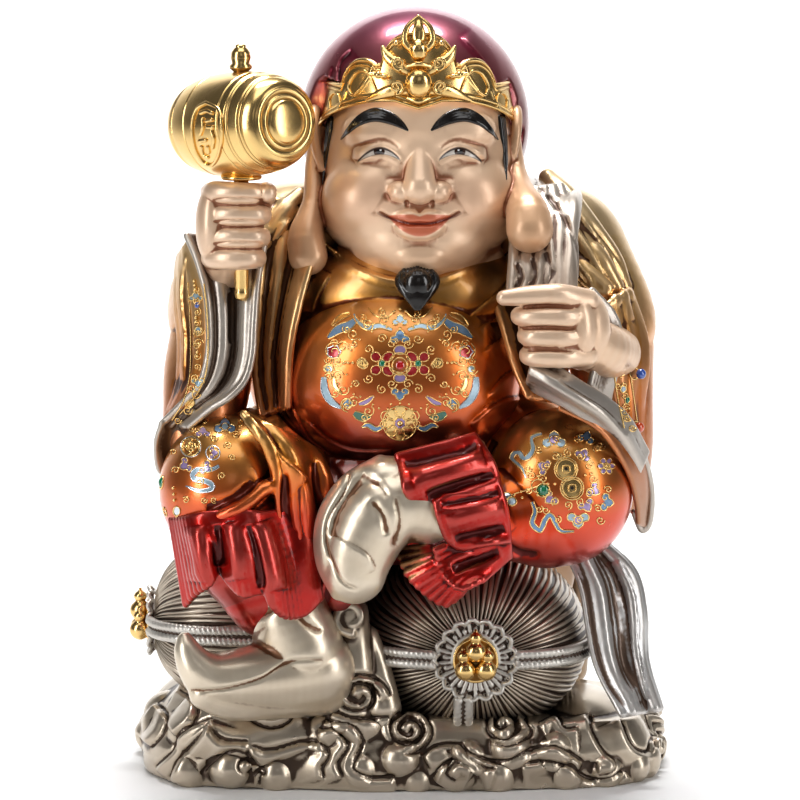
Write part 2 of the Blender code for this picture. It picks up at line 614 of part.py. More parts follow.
def mallet():
    """A barrel-shaped striking head on a straight handle that passes through it to a knob."""
    clay = Clay()
    centre, way = mallet_centre(), Vector(MALLET_WAY).normalized()
    steps = 14
    stations = [MALLET_LENGTH * (share / steps - 0.5) for share in range(steps + 1)]
    rings = [(barrel_radius(along), along) for along in stations]
    end = MALLET_LENGTH / 2
    profile = [(0.0, -end), (MALLET_FACE_RADIUS * 0.9, -end), *rings, (MALLET_FACE_RADIUS * 0.9, end), (0.0, end)]
    turned(clay.shapes, profile, centre, way, 40)
    up = (0, 0, 1)
    tip = grip_line() - Vector((0, 0, HANDLE_TIP_BELOW_FIST))
    knob = centre.z + MALLET_BELLY_RADIUS + KNOB_HEIGHT - tip.z
    shaft = [(0.0, 0.0), (HANDLE_RADIUS * 0.8, 0.0), (HANDLE_RADIUS, 0.001), (HANDLE_RADIUS, knob - 0.5 * KNOB_HEIGHT),
             (KNOB_RADIUS, knob - 0.42 * KNOB_HEIGHT), (KNOB_RADIUS * 0.9, knob - 0.2 * KNOB_HEIGHT),
             (KNOB_RADIUS * 0.4, knob), (0.0, knob)]
    turned(clay.shapes, shaft, tip, up, 16)
    foot = Vector((*centre.xy, at(0, 0, FIST_TOP).z + SEAT_GAP))
    collar_rise = MALLET_COLLAR_HEIGHT + 0.3 * MALLET_BELLY_RADIUS
    ring = [(0.0, 0.0), (MALLET_COLLAR_RADIUS * 0.92, 0.0), (MALLET_COLLAR_RADIUS, 0.3 * MALLET_COLLAR_HEIGHT),
            (MALLET_COLLAR_RADIUS, 0.8 * MALLET_COLLAR_HEIGHT), (MALLET_COLLAR_RADIUS * 0.8, collar_rise), (0.0, collar_rise)]
    turned(clay.shapes, ring, foot, up, 24)
    face = centre + way * end
    turned(clay.shapes, [(0.0, -0.002), (0.0105, -0.002), (0.0105, 0.0014), (0.0, 0.0014)], face + Vector((0, 0, 0.0035)), way, 24)
    made = object_of("mallet", clay)
    fuse(made, 0.0005, 2, 700)
    paint(made, (0.83, 0.62, 0.26), 0.12, 1.0)
    return made


def fuse(made, voxel, smoothing, triangles):
    """Fuses the object's shapes to one skin, smooths it and thins it to about this many triangles."""
    modifier(made, "REMESH", mode="VOXEL", voxel_size=voxel)
    modifier(made, "SMOOTH", factor=0.5, iterations=smoothing)
    settle(made)
    faces = sum(len(face.vertices) - 2 for face in made.data.polygons)
    modifier(made, "DECIMATE", ratio=min(1.0, triangles / faces))
    settle(made)


def crown():
    """A scalloped gilt band with a jewel, four leaves and a bud at its middle."""
    clay = Clay()
    crown_shell(clay.shapes, 0.0, CROWN_THICKNESS)
    depth = CROWN_THICKNESS / STEP
    x = CROWN_AXIS[0]
    front = CROWN_AXIS[1] - CROWN_REACH[1] - 0.6 * depth
    ball(clay, (x, front - 1.6, 347), (6.5, 4.6, 7))
    limb(clay, (x, front + 1.6, 358, 4.2), (x, front + 2.4, 364, 4.4), (x, front + 4.6, 372, 3.6), (x, front + 6, 377, 2.2))
    for hand in (-1, 1):
        limb(clay, (x + hand * 6, front + 0.2, 343, 3.4), (x + hand * 14, front + 1.4, 343, 3.2), (x + hand * 22, front + 4.4, 341, 1.6))
        limb(clay, (x + hand * 5, front + 0.6, 352, 3.0), (x + hand * 12, front + 2.6, 355, 3.2), (x + hand * 19, front + 4.6, 359, 1.6))
    made = object_of("crown", clay)
    fuse(made, 0.0006, 2, 800)
    paint(made, (0.86, 0.64, 0.25), 0.18, 1.0)
    return made


def gourds(name, bale_sizes):
    """Three small gourds on a round plate, let into the middle of a bale's cap."""
    clay = Clay()
    way, side = Vector(bale_sizes["axis"]), bale_side_way(bale_sizes["axis"])
    face = at(*(Vector(bale_sizes["centre"]) + way * (bale_sizes["half_length"] + 3.0)))
    depth = GOURD_PLATE_THICKNESS
    turned(clay.shapes, [(0.0, 0.0), (GOURD_PLATE_RADIUS, 0.0), (GOURD_PLATE_RADIUS, depth), (0.0, depth)],
           face - way * depth, way, 28)
    rise = Vector((0, 0, 1))
    for across, up in ((0.0, 0.95), (-0.95, -0.75), (0.95, -0.75)):
        spot = (face + (side * across + rise * up) * GOURD_RADIUS + way * 0.75 * GOURD_RADIUS) / STEP
        size = GOURD_RADIUS / STEP
        ball(clay, spot, size)
        ball(clay, spot + rise * size * 1.15, 0.62 * size)
    made = object_of(name, clay)
    fuse(made, 0.0005, 1, 320)
    paint(made, (0.86, 0.64, 0.25), 0.2, 1.0)
    return made


def gourd_seat(clay, bale_sizes):
    """A round pocket for the gourds' plate, clear above it."""
    way = Vector(bale_sizes["axis"])
    face = at(*(Vector(bale_sizes["centre"]) + way * (bale_sizes["half_length"] + 3.0)))
    reach = GOURD_PLATE_RADIUS + SEAT_GAP
    foot = face - way * (GOURD_PLATE_THICKNESS + SEAT_GAP)
    turned(clay.shapes, [(0.0, 0.0), (reach, 0.0), (reach, 0.02), (0.0, 0.02)], foot, way, 28)


# Set stones: name, radius, a point on the figure's grid in front of the stone, the way to look from it, colour
STONES = (
    ("belly_stone", BELLY_STONE_RADIUS, (0.0, -140.0, 212.5), (0, 1, 0), (0.55, 0.01, 0.01)),
    ("left_knee_stone", KNEE_STONE_RADIUS, (69.0, -140.0, 153.0), (0, 1, 0), (0.0, 0.25, 0.12)),
    ("left_tassel_stone", TASSEL_STONE_RADIUS, (54.0, -140.0, 147.5), (0, 1, 0), (0.35, 0.5, 0.7)),
    ("right_knee_stone", KNEE_STONE_RADIUS, (-170.0, -100.0, 153.0), (1, 0.55, 0), (0.0, 0.25, 0.12)),
    ("right_tassel_stone", TASSEL_STONE_RADIUS, (-170.0, -104.0, 139.0), (1, 0.55, 0), (0.35, 0.5, 0.7)),
    ("right_sleeve_upper_stone", SLEEVE_STONE_RADIUS, (-125.0, -110.0, 238.0), (0.5, 1, 0), (0.05, 0.12, 0.5)),
    ("right_sleeve_lower_stone", SLEEVE_STONE_RADIUS, (-125.0, -116.0, 207.0), (0.5, 1, 0), (0.6, 0.1, 0.02)),
    ("left_sleeve_upper_stone", SLEEVE_STONE_RADIUS, (140.0, -110.0, 205.0), (-0.45, 1, 0), (0.05, 0.12, 0.5)),
    ("left_sleeve_lower_stone", SLEEVE_STONE_RADIUS, (140.0, -110.0, 178.0), (-0.45, 1, 0), (0.6, 0.1, 0.02)),
)


def stone_place(skin, start, way):
    """Where a stone sits on the casting's skin, and the way it faces."""
    hit, normal, _, _ = skin.ray_cast(at(*start), Vector(way).normalized())
    return hit, normal


def stone(name, radius, hit, normal, colour):
    """A domed cabochon, half sunk in its pocket."""
    clay = Clay()
    profile = [(0.0, 0.0), (radius, 0.0), (radius, STONE_DEPTH), (radius * 0.7, STONE_DEPTH + 0.42 * radius),
               (0.0, STONE_DEPTH + 0.6 * radius)]
    turned(clay.shapes, profile, hit - normal * STONE_DEPTH, normal, 10)
    made = object_of(name, clay)
    paint(made, colour, 0.08, 0.0)
    return made


def stone_pocket(clay, radius, hit, normal):
    reach = radius + SEAT_GAP
    profile = [(0.0, 0.0), (reach, 0.0), (reach, 0.012), (0.0, 0.012)]
    turned(clay.shapes, profile, hit - normal * (STONE_DEPTH + SEAT_GAP), normal, 10)


def casting():
    """The figure, bales and base, fused to one skin, hollowed at the sleeve mouths and thinned."""
    clay = Clay()
    for form in FIGURE:
        form(clay)
    made = object_of("statue", clay)
    modifier(made, "REMESH", mode="VOXEL", voxel_size=CLAY_VOXEL)
    settle(made)
    hollow = Clay()
    sleeve_mouths(hollow)
    cutter = cutter_of("sleeve_hollows", hollow)
    modifier(cutter, "REMESH", mode="VOXEL", voxel_size=CLAY_VOXEL)
    settle(cutter)
    modifier(made, "BOOLEAN", operation="DIFFERENCE", object=cutter)
    settle(made)
    modifier(made, "REMESH", mode="VOXEL", voxel_size=CLAY_VOXEL)
    modifier(made, "SMOOTH", factor=0.5, iterations=CLAY_SMOOTHING)
    settle(made)
    faces = sum(len(face.vertices) - 2 for face in made.data.polygons)
    modifier(made, "DECIMATE", ratio=min(1.0, CASTING_TRIANGLES / faces))
    settle(made)
    return made


def box(shapes, low, high):
    """Adds a box between two corners in metres."""
    size = Vector(high) - Vector(low)
    place = Matrix.LocRotScale((Vector(low) + Vector(high)) / 2, None, size)
    bmesh.ops.create_cube(shapes, size=1.0, matrix=place)


def seats(skin):
    """What the casting has to be clear of: the floor, the handle's bore, the crown, the plates and the stones."""
    wide = STATUE_HEIGHT
    floor = Clay()
    box(floor.shapes, (-wide, -wide, -0.1 * wide), (wide, wide, 0.0))
    bore = Clay()
    reach = HANDLE_RADIUS + SEAT_GAP
    foot = grip_line() - Vector((0, 0, 0.012))
    rise = at(0, 0, FIST_TOP).z - foot.z
    turned(bore.shapes, [(0.0, 0.0), (reach, 0.0), (reach, rise + 0.001), (0.0, rise + 0.001)], foot, (0, 0, 1), 16)
    lid = Clay()
    above = foot + Vector((0, 0, rise))
    turned(lid.shapes, [(0.0, 0.0), (MALLET_COLLAR_RADIUS * 1.9, 0.0), (MALLET_COLLAR_RADIUS * 1.9, 0.02), (0.0, 0.02)],
           above, (0, 0, 1), 24)
    brow = Clay()
    crown_shell(brow.shapes, -SEAT_GAP, 0.02, SEAT_GAP, across=30, rise=1)
    cutters = [floor, bore, lid, brow]
    for sizes in (FRONT_BALE, SIDE_BALE):
        pocket = Clay()
        gourd_seat(pocket, sizes)
        cutters.append(pocket)
    for _, radius, start, way, _ in STONES:
        pocket = Clay()
        stone_pocket(pocket, radius, *stone_place(skin, start, way))
        cutters.append(pocket)
    return [cutter_of(f"seat_{index}", clay) for index, clay in enumerate(cutters)]


def main():
    for stale in list(bpy.data.objects):
        bpy.data.objects.remove(stale)
    made = casting()
    skin = BVHTree.FromObject(made, bpy.context.evaluated_depsgraph_get())
    for cutter in seats(skin):
        modifier(made, "BOOLEAN", operation="DIFFERENCE", object=cutter)
    paint(made, (0.62, 0.55, 0.45), 0.35, 0.6)
    mallet()
    crown()
    gourds("front_gourds", FRONT_BALE)
    gourds("side_gourds", SIDE_BALE)
    for name, radius, start, way, colour in STONES:
        stone(name, radius, *stone_place(skin, start, way), colour)
    centre()


def centre():
    """Moves everything so that the origin is under the middle of the whole and the foot is at height zero."""
    graph = bpy.context.evaluated_depsgraph_get()
    spots = []
    for made in bpy.data.objects:
        if not made.hide_render:
            spots += [vert.co.copy() for vert in made.evaluated_get(graph).data.vertices]
    low = Vector([min(spot[axis] for spot in spots) for axis in range(3)])
    high = Vector([max(spot[axis] for spot in spots) for axis in range(3)])
    shift = Vector((-(low.x + high.x) / 2, -(low.y + high.y) / 2, -low.z))
    for made in bpy.data.objects:
        made.data.transform(Matrix.Translation(shift))
    print("shift", [round(1000 * part, 3) for part in shift])


main()
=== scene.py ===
"""The looks of the mahakala statue: carved forms, lacquers, filigree, stones, floor, lights and camera.

Every piece of the casting is modelled as clay on the same grid as the solids: rounded lumps and limbs are
fused to one skin, then carved by strokes that are drawn over it as the camera sees it. Metres, +Z up, and
the figure faces -Y.
"""

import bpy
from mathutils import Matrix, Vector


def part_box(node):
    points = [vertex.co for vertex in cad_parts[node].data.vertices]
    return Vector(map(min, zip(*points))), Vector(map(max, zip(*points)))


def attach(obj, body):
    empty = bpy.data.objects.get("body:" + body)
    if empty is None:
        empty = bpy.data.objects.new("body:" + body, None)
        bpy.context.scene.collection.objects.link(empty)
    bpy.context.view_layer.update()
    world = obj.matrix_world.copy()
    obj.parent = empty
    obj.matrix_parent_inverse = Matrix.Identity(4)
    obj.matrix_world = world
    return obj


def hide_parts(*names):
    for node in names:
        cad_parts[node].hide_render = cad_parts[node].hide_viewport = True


bl_info = {
    "name": "Seated Lucky Deity",
    "version": (1, 0, 0),
    "blender": (4, 5, 0),
    "location": "View3D > Sidebar > Statue",
    "description": "Models the carved and lacquered surfaces of a seated mahakala statue",
    "category": "Object",
}

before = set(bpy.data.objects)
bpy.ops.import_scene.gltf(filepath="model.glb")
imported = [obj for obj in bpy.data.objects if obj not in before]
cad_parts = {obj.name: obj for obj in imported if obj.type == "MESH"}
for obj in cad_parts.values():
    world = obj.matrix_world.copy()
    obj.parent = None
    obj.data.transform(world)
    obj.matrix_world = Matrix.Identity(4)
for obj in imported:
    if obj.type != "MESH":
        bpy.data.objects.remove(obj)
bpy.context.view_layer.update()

import math

import bmesh
import bpy
import numpy as np
from mathutils import Euler, Matrix, Vector
from mathutils.bvhtree import BVHTree
from mathutils.kdtree import KDTree

# The figure is drawn on a grid of 380 steps to its height, and then moved so that the origin is under its middle.
STEP = 0.380 / 380.0
SHIFT = Vector((0.000415, 0.012964, 0.0))
PICTURE = 800.0
CAMERA_AIM = 183.5
CAMERA_ELEVATION = math.radians(8.0)
CAMERA_DISTANCE = 2.6
CAMERA_FIELD = 0.4


# Sizes and colours that a user would change


class StatueCarving(bpy.types.PropertyGroup):
    fine_grain: bpy.props.FloatProperty(
        name="Fine Grain", description="Spacing of the skin's points on the face and hands",
        default=0.00062, min=0.0003, unit="LENGTH")
    cloth_grain: bpy.props.FloatProperty(
        name="Cloth Grain", description="Spacing of the skin's points on robes, boots and clouds",
        default=0.00085, min=0.0004, unit="LENGTH")
    straws: bpy.props.IntProperty(
        name="Straws", description="Straws around each bale", default=88, min=24)
    wire_radius: bpy.props.FloatProperty(
        name="Wire Radius", description="Radius of the filigree wires", default=0.00034, min=0.0001, unit="LENGTH")


class StatuePaint(bpy.types.PropertyGroup):
    skin: bpy.props.FloatVectorProperty(
        name="Skin", description="Pearl colour of face and hands", subtype="COLOR", default=(0.84, 0.60, 0.42))
    gold: bpy.props.FloatVectorProperty(
        name="Gold", description="Polished gilding", subtype="COLOR", default=(0.86, 0.60, 0.26))
    silver: bpy.props.FloatVectorProperty(
        name="Silver", description="Silver pearl of linings and boots", subtype="COLOR", default=(0.50, 0.45, 0.40))
    red: bpy.props.FloatVectorProperty(
        name="Red", description="Candy red of the trouser frills", subtype="COLOR", default=(0.46, 0.011, 0.006))
    hood: bpy.props.FloatVectorProperty(
        name="Hood", description="Maroon of the hood", subtype="COLOR", default=(0.22, 0.022, 0.030))
    # Patina brown, which the lacquers also use as painted shade in sheltered folds.
    patina_and_shade: bpy.props.FloatVectorProperty(
        name="Patina", description="Brown left in the recesses", subtype="COLOR", default=(0.07, 0.032, 0.016))


class StatueStage(bpy.types.PropertyGroup):
    elevation: bpy.props.FloatProperty(
        name="Elevation", description="Camera angle above level", subtype="ANGLE", default=CAMERA_ELEVATION)
    distance: bpy.props.FloatProperty(
        name="Distance", description="Camera to the middle of the statue", default=CAMERA_DISTANCE, unit="LENGTH")
    field: bpy.props.FloatProperty(
        name="Field", description="Width that the camera sees at the statue", default=CAMERA_FIELD, unit="LENGTH")
    key_power: bpy.props.FloatProperty(
        name="Key Power", description="Strength of the large side lights", default=8.0, unit="POWER")


# Places


def at(x, y, z):
    """A place on the figure's grid, in metres."""
    return Vector((x, y, z)) * STEP


class Picture:
    """The camera's view of the grid: which ray passes through a place of the picture, and where a point is seen."""

    def __init__(self):
        self.middle = at(0.0, 0.0, CAMERA_AIM)
        self.way = Vector((0, math.cos(CAMERA_ELEVATION), -math.sin(CAMERA_ELEVATION)))
        self.rise = Vector((0, math.sin(CAMERA_ELEVATION), math.cos(CAMERA_ELEVATION)))
        self.eye = self.middle - self.way * CAMERA_DISTANCE
        self.scale = PICTURE / CAMERA_FIELD
        self.distance = CAMERA_DISTANCE

    def ray(self, u, v):
        spot = self.middle + (Vector((1, 0, 0)) * (u - PICTURE / 2) + self.rise * (PICTURE / 2 - v)) / self.scale
        return self.eye, (spot - self.eye).normalized()

    def seen(self, points):
        """Columns u and v of the picture for an array of points."""
        apart = points - np.array(self.eye)
        depth = apart @ np.array(self.way)
        reach = self.distance * self.scale / depth
        return PICTURE / 2 + apart[:, 0] * reach, PICTURE / 2 - (apart @ np.array(self.rise)) * reach

    def facing(self, normals):
        return -(normals @ np.array(self.way))


class Side:
    """A level view of the grid from another side: u runs right and v up, in grid steps from a middle."""

    def __init__(self, middle, way):
        self.middle = at(*middle)
        self.way = Vector(way).normalized()
        self.right = self.way.cross(Vector((0, 0, 1))).normalized()
        self.rise = self.right.cross(self.way)

    def ray(self, u, v):
        spot = self.middle + (self.right * u + self.rise * v) * STEP
        return spot - self.way * 0.2, self.way

    def seen(self, points):
        apart = points - np.array(self.middle)
        return (apart @ np.array(self.right)) / STEP, (apart @ np.array(self.rise)) / STEP

    def facing(self, normals):
        return -(normals @ np.array(self.way))


class Around:
    """The cloud base unrolled: u is degrees from the middle of the front, in steps of the rim, and v is height."""

    rim = 1.75

    def seen(self, points):
        x, y = points[:, 0] / BASE_HALF_WIDTH, points[:, 1] / BASE_HALF_DEPTH
        return np.degrees(np.arctan2(x, -y)) * self.rim, points[:, 2] / STEP

    def facing(self, normals):
        return normals[:, 2] * 0 + 1


PICTURE_VIEW = Picture()


# Clay tools, the same as the solids' own


class Clay:
    """Closed shapes that will be fused: lofts as a bmesh, and lumps as stamped copies of a round ball."""

    def __init__(self):
        self.shapes = bmesh.new()
        self.lumps = {}

    def stamp(self, place, detail):
        self.lumps.setdefault(detail, []).append(place)

    def mesh(self, name):
        """All of it in one mesh. The many copies of a ball are placed with numpy, because bmesh slows as it grows."""
        bmesh.ops.recalc_face_normals(self.shapes, faces=self.shapes.faces)
        bmesh.ops.triangulate(self.shapes, faces=self.shapes.faces)
        self.shapes.verts.index_update()
        points = [np.array([vert.co for vert in self.shapes.verts]).reshape(-1, 3)]
        corners = [np.array([[v.index for v in face.verts] for face in self.shapes.faces], int).reshape(-1, 3)]
        self.shapes.free()
        count = len(points[0])
        for detail, places in self.lumps.items():
            form = bmesh.new()
            bmesh.ops.create_icosphere(form, subdivisions=detail, radius=1.0)
            round_points = np.array([vert.co for vert in form.verts])
            round_faces = np.array([[v.index for v in face.verts] for face in form.faces])
            form.free()
            matrices = np.array(places)
            moved = np.einsum("nij,pj->npi", matrices[:, :3, :3], round_points) + matrices[:, None, :3, 3]
            starts = count + len(round_points) * np.arange(len(places))
            points.append(moved.reshape(-1, 3))
            corners.append((round_faces[None] + starts[:, None, None]).reshape(-1, 3))
            count += moved.shape[0] * moved.shape[1]
        mesh = bpy.data.meshes.new(name)
        mesh.from_pydata(np.concatenate(points), [], np.concatenate(corners).tolist())
        return mesh


def fineness(radius):
    """Subdivisions that keep a ball of this radius round."""
    return max(2, min(5, round(math.log2(max(radius, 1.0)))))


def ball(clay, centre, radii, turn=(0.0, 0.0, 0.0)):
    """Adds an ellipsoid. Centre and radii are on the figure's grid, and turn is in degrees about X, Y and Z."""
    if isinstance(radii, (int, float)):
        radii = (radii, radii, radii)
    spin = Euler([math.radians(angle) for angle in turn])
    clay.stamp(Matrix.LocRotScale(at(*centre), spin, at(*radii)), fineness(max(radii)))


def smooth_stations(stations, spacing):
    """Stations (x, y, z, radius) along a smooth curve through the given ones, about spacing radii apart."""
    points = [Vector(station) for station in stations]
    ends = [2 * points[0] - points[1], 2 * points[-1] - points[-2]]
    chain = [ends[0], *points, ends[1]]
    found = []
    for before, start, end, after in zip(chain, chain[1:], chain[2:], chain[3:]):
        length = (end.xyz - start.xyz).length
        steps = max(1, math.ceil(length / (spacing * min(start.w, end.w))))
        for step in range(steps):
            t = step / steps
            bend = (2 * before - 5 * start + 4 * end - after) * t**2
            twist = (3 * start - before - 3 * end + after) * t**3
            found.append(0.5 * (2 * start + (end - before) * t + bend + twist))
    return [*found, points[-1]]


def limb(clay, *stations, flat=1.0, facing=None, spacing=0.3):
    """Adds a round limb through stations (x, y, z, radius). With facing it is a strap, flat times as thick along it."""
    turn = Vector(facing or (0, 0, 1)).to_track_quat("Z", "Y")
    for station in smooth_stations(stations, spacing):
        radius = station.w
        clay.stamp(Matrix.LocRotScale(at(*station.xyz), turn, at(radius, radius, radius * flat)), fineness(radius))


def picture_spot(u, v, y):
    """The place on the grid that is seen at u, v and lies at the depth y."""
    eye, way = PICTURE_VIEW.ray(u, v)
    return (eye + way * ((y * STEP - eye.y) / way.y)) / STEP


def evenly(path, count):
    """Places at even distances along a smooth curve."""
    line = np.array([tuple(s)[:3] for s in smooth_stations([(*p, 3.0) for p in path], 1.0)])
    gone = np.concatenate([[0.0], np.cumsum(np.linalg.norm(np.diff(line, axis=0), axis=1))])
    shares = np.linspace(0.0, gone[-1], count)
    return np.stack([np.interp(shares, gone, line[:, part]) for part in range(3)], axis=1)


def drape(clay, first, second, sag=0.0, folds=0.0, depth=0.0, phase=0.0, ripples=0.0, ripple=0.0, thick=1.3):
    """Adds a sheet of cloth between two edges, each a curve of picture places and depths (u, v, y).

    sag moves its middle back. folds run along the edges, and ripples run across from one edge to the other.
    """
    rows = max(6, int(max(np.ptp(np.array(first)[:, :2], axis=0).sum(), 40) * 0.5 / (0.8 * thick)))
    starts, ends = evenly(first, rows), evenly(second, rows)
    widest = np.linalg.norm(ends[:, :2] - starts[:, :2], axis=1).max() * 0.5
    columns = max(4, int(widest / (0.8 * thick)))
    for row in range(rows):
        along = row / (rows - 1)
        for column in range(columns + 1):
            t = column / columns
            u, v, y = starts[row] * (1 - t) + ends[row] * t
            y += sag * math.sin(math.pi * t) + depth * math.sin(2 * math.pi * (folds * t + phase)) * math.sin(math.pi * t) ** 0.5
            y += ripple * (0.3 + 0.7 * t) * math.sin(2 * math.pi * (ripples * along + phase))
            clay.stamp(Matrix.LocRotScale(at(*picture_spot(u, v, y)), None, at(thick, thick, thick)), 2)


def edge_roll(clay, path, radius):
    """Adds a rolled edge along picture places and depths."""
    limb(clay, *[(*picture_spot(u, v, y), radius) for u, v, y in path], spacing=0.4)


def ring_edges(verts):
    """The edges that join these vertices to each other."""
    chosen = set(verts)
    return [edge for edge in {e for v in verts for e in v.link_edges} if chosen.issuperset(edge.verts)]


def bridge_rings(shapes, loops):
    for first, second in zip(loops, loops[1:]):
        bmesh.ops.bridge_loops(shapes, edges=[*first, *second])


def curl(clay, centre, across, up, size, turns=1.5, hand=1, thick=0.28):
    """Adds a scroll: a spiral roll around a small bead, lying in the plane of across and up."""
    across = Vector(across).normalized()
    up = Vector(up).normalized()
    steps = 18
    stations = []
    for step in range(steps + 1):
        share = step / steps
        angle = hand * 2 * math.pi * turns * share - math.pi / 2
        reach = size * (1 - 0.80 * share)
        place = Vector(centre) + across * reach * math.cos(angle) + up * reach * math.sin(angle)
        stations.append((*place, size * thick * (1 - 0.4 * share)))
    limb(clay, *stations, spacing=0.4)


# Carving


class Carving:
    """Strokes drawn over a skin in some view of it. Widths and depths are in millimetres of the real piece."""

    def __init__(self, view, unit=0.5):
        self.view = view
        self.unit = unit
        self.strokes = []

    def stroke(self, kind, path, width, depth, taper=0.15):
        line = np.array([tuple(s)[:2] for s in smooth_stations([(*p, 0.0, 3.0) for p in path], 1.0)])
        self.strokes.append((kind, line, width, depth, taper))

    def ridge(self, *path, width=2.0, depth=0.8, taper=0.15):
        """A rounded rise, or a groove where depth is below zero."""
        self.stroke("ridge", path, width, depth, taper)

    def lip(self, *path, width=5.0, depth=1.0, taper=0.12):
        """A step: the skin is raised on the right-hand side of the path, and the rise fades away from it."""
        self.stroke("lip", path, width, depth, taper)

    def heights(self, points, normals):
        u, v = self.view.seen(points)
        front = self.view.facing(normals)
        total = np.zeros(len(points))
        for kind, line, width, depth, taper in self.strokes:
            margin = 3.0 * width / self.unit
            low, high = line.min(axis=0) - margin, line.max(axis=0) + margin
            near = np.flatnonzero((u > low[0]) & (u < high[0]) & (v > low[1]) & (v < high[1]) & (front > 0.05))
            if not len(near):
                continue
            spots = np.stack([u[near], v[near]], axis=1)
            start, run = line[:-1], line[1:] - line[:-1]
            length = np.maximum((run**2).sum(axis=1), 1e-9)
            apart = spots[:, None] - start[None]
            share = np.clip((apart * run).sum(axis=2) / length, 0, 1)
            off = apart - share[..., None] * run
            far = np.sqrt((off**2).sum(axis=2))
            best = far.argmin(axis=1)
            rows = np.arange(len(near))
            away = far[rows, best] * self.unit
            along = (best + share[rows, best]) / len(run)
            ends = np.clip(np.minimum(along, 1 - along) / max(taper, 1e-3), 0, 1)
            if kind == "ridge":
                rise = np.exp(-((away / width) ** 2))
            else:
                turn = run[best, 0] * apart[rows, best, 1] - run[best, 1] * apart[rows, best, 0]
                turn *= -1 if isinstance(self.view, Picture) else 1
                rise = np.where(turn < 0, np.exp(-((away / width) ** 1.5)), np.exp(-((away / 0.35) ** 2)))
            total[near] += depth * rise * ends**0.5
        return total


def object_of(name, mesh):
    """A new object that holds this mesh."""
    made = bpy.data.objects.new(name, mesh)
    bpy.context.scene.collection.objects.link(made)
    return made


def modifier(owner, kind, **settings):
    made = owner.modifiers.new(kind.title(), kind)
    for key, value in settings.items():
        setattr(made, key, value)
    return made


def settle(owner):
    """Puts the result of the object's modifiers into its mesh."""
    graph = bpy.context.evaluated_depsgraph_get()
    mesh = bpy.data.meshes.new_from_object(owner.evaluated_get(graph))
    owner.modifiers.clear()
    owner.data = mesh


def points_of(mesh):
    flat = np.empty(len(mesh.vertices) * 3)
    mesh.vertices.foreach_get("co", flat)
    return flat.reshape(-1, 3)


def normals_of(mesh):
    flat = np.empty(len(mesh.vertices) * 3)
    mesh.vertex_normals.foreach_get("vector", flat)
    return flat.reshape(-1, 3)


def put_points(mesh, points):
    mesh.vertices.foreach_set("co", points.reshape(-1))
    mesh.update()


def fused(name, clay, grain, smoothing, under=None):
    """The clay as one skin, grown together with the object under it."""
    made = object_of(name, clay.mesh(name))
    if under:
        shapes = bmesh.new()
        shapes.from_mesh(under.data)
        shapes.from_mesh(made.data)
        shapes.to_mesh(made.data)
        shapes.free()
        bpy.data.objects.remove(under)
    modifier(made, "REMESH", mode="VOXEL", voxel_size=grain)
    if smoothing:
        modifier(made, "SMOOTH", factor=0.5, iterations=smoothing)
    settle(made)
    return made


def carve(made, *carvings, soften=1):
    """Moves the skin out and in along its normals, by all the strokes."""
    mesh = made.data
    points, normals = points_of(mesh), normals_of(mesh)
    rise = sum(carving.heights(points, normals) for carving in carvings)
    put_points(mesh, points + normals * (rise * STEP)[:, None])
    if soften:
        modifier(made, "SMOOTH", factor=0.5, iterations=soften)
        settle(made)


def neighbours_mean(points, edges, count):
    total = np.zeros_like(points)
    for axis in range(points.shape[1]):
        total[:, axis] = np.bincount(edges[:, 0], points[edges[:, 1], axis], count)
        total[:, axis] += np.bincount(edges[:, 1], points[edges[:, 0], axis], count)
    return total / np.maximum(np.bincount(edges.reshape(-1), minlength=count), 1)[:, None]


def note(mesh, name, values):
    """Keeps a number at each vertex, for the paint to read."""
    layer = mesh.attributes.new(name, "FLOAT", "POINT")
    layer.data.foreach_set("value", np.ascontiguousarray(values, dtype=np.float32))


def note_hollows(mesh):
    """Keeps how hollow the skin is, over about a millimetre and over about a centimetre."""
    flat = np.empty(len(mesh.edges) * 2, dtype=np.int32)
    mesh.edges.foreach_get("vertices", flat)
    edges = flat.reshape(-1, 2)
    points, normals = points_of(mesh), normals_of(mesh)
    eased, passed = points.copy(), 0
    for name, passes, scale in (("crease", 4, 0.00012), ("hollow", 45, 0.0011)):
        for _ in range(passes - passed):
            eased = neighbours_mean(eased, edges, len(points))
        passed = passes
        depth = ((eased - points) * normals).sum(axis=1)
        note(mesh, name, np.clip(depth / scale, -1, 1))


def note_shelter(owners):
    """Keeps how sheltered each place is by the rest of the statue, 0 in the open and 1 deep in a fold, for the paint to
    darken as painted shade.
    """
    tree = skin_tree(*owners)
    rays = 30
    ways = []
    for index in range(rays):
        height = 1 - 2 * (index + 0.5) / rays
        angle = index * math.pi * (3 - math.sqrt(5))
        ways.append(Vector((math.sqrt(1 - height**2) * math.cos(angle), math.sqrt(1 - height**2) * math.sin(angle), height)))
    reach = 0.034
    for owner in owners:
        mesh = owner.data
        points, normals = points_of(mesh) - np.array(SHIFT), normals_of(mesh)
        cells = np.floor(points / 0.004).astype(np.int64)
        _, firsts, which = np.unique(cells @ np.array([1, 4096, 16777216]), return_index=True, return_inverse=True)
        found = np.zeros(len(firsts))
        for number, index in enumerate(firsts):
            normal = Vector(normals[index])
            start = Vector(points[index]) + normal * 0.0011
            total = hidden = 0.0
            for way in ways:
                front = way.dot(normal)
                if front > 0.15:
                    total += front
                    distance = tree.ray_cast(start, way, reach)[3]
                    if distance is not None:
                        hidden += front * (1 - distance / reach)
            found[number] = hidden / total
        flat = np.empty(len(mesh.edges) * 2, dtype=np.int32)
        mesh.edges.foreach_get("vertices", flat)
        values = found[which.reshape(-1)][:, None]
        for _ in range(24):
            values = neighbours_mean(values, flat.reshape(-1, 2), len(points))
        note(mesh, "shelter", values[:, 0])


def thin(made, triangles):
    faces = sum(len(face.vertices) - 2 for face in made.data.polygons)
    if faces > triangles:
        modifier(made, "DECIMATE", ratio=triangles / faces)
        settle(made)


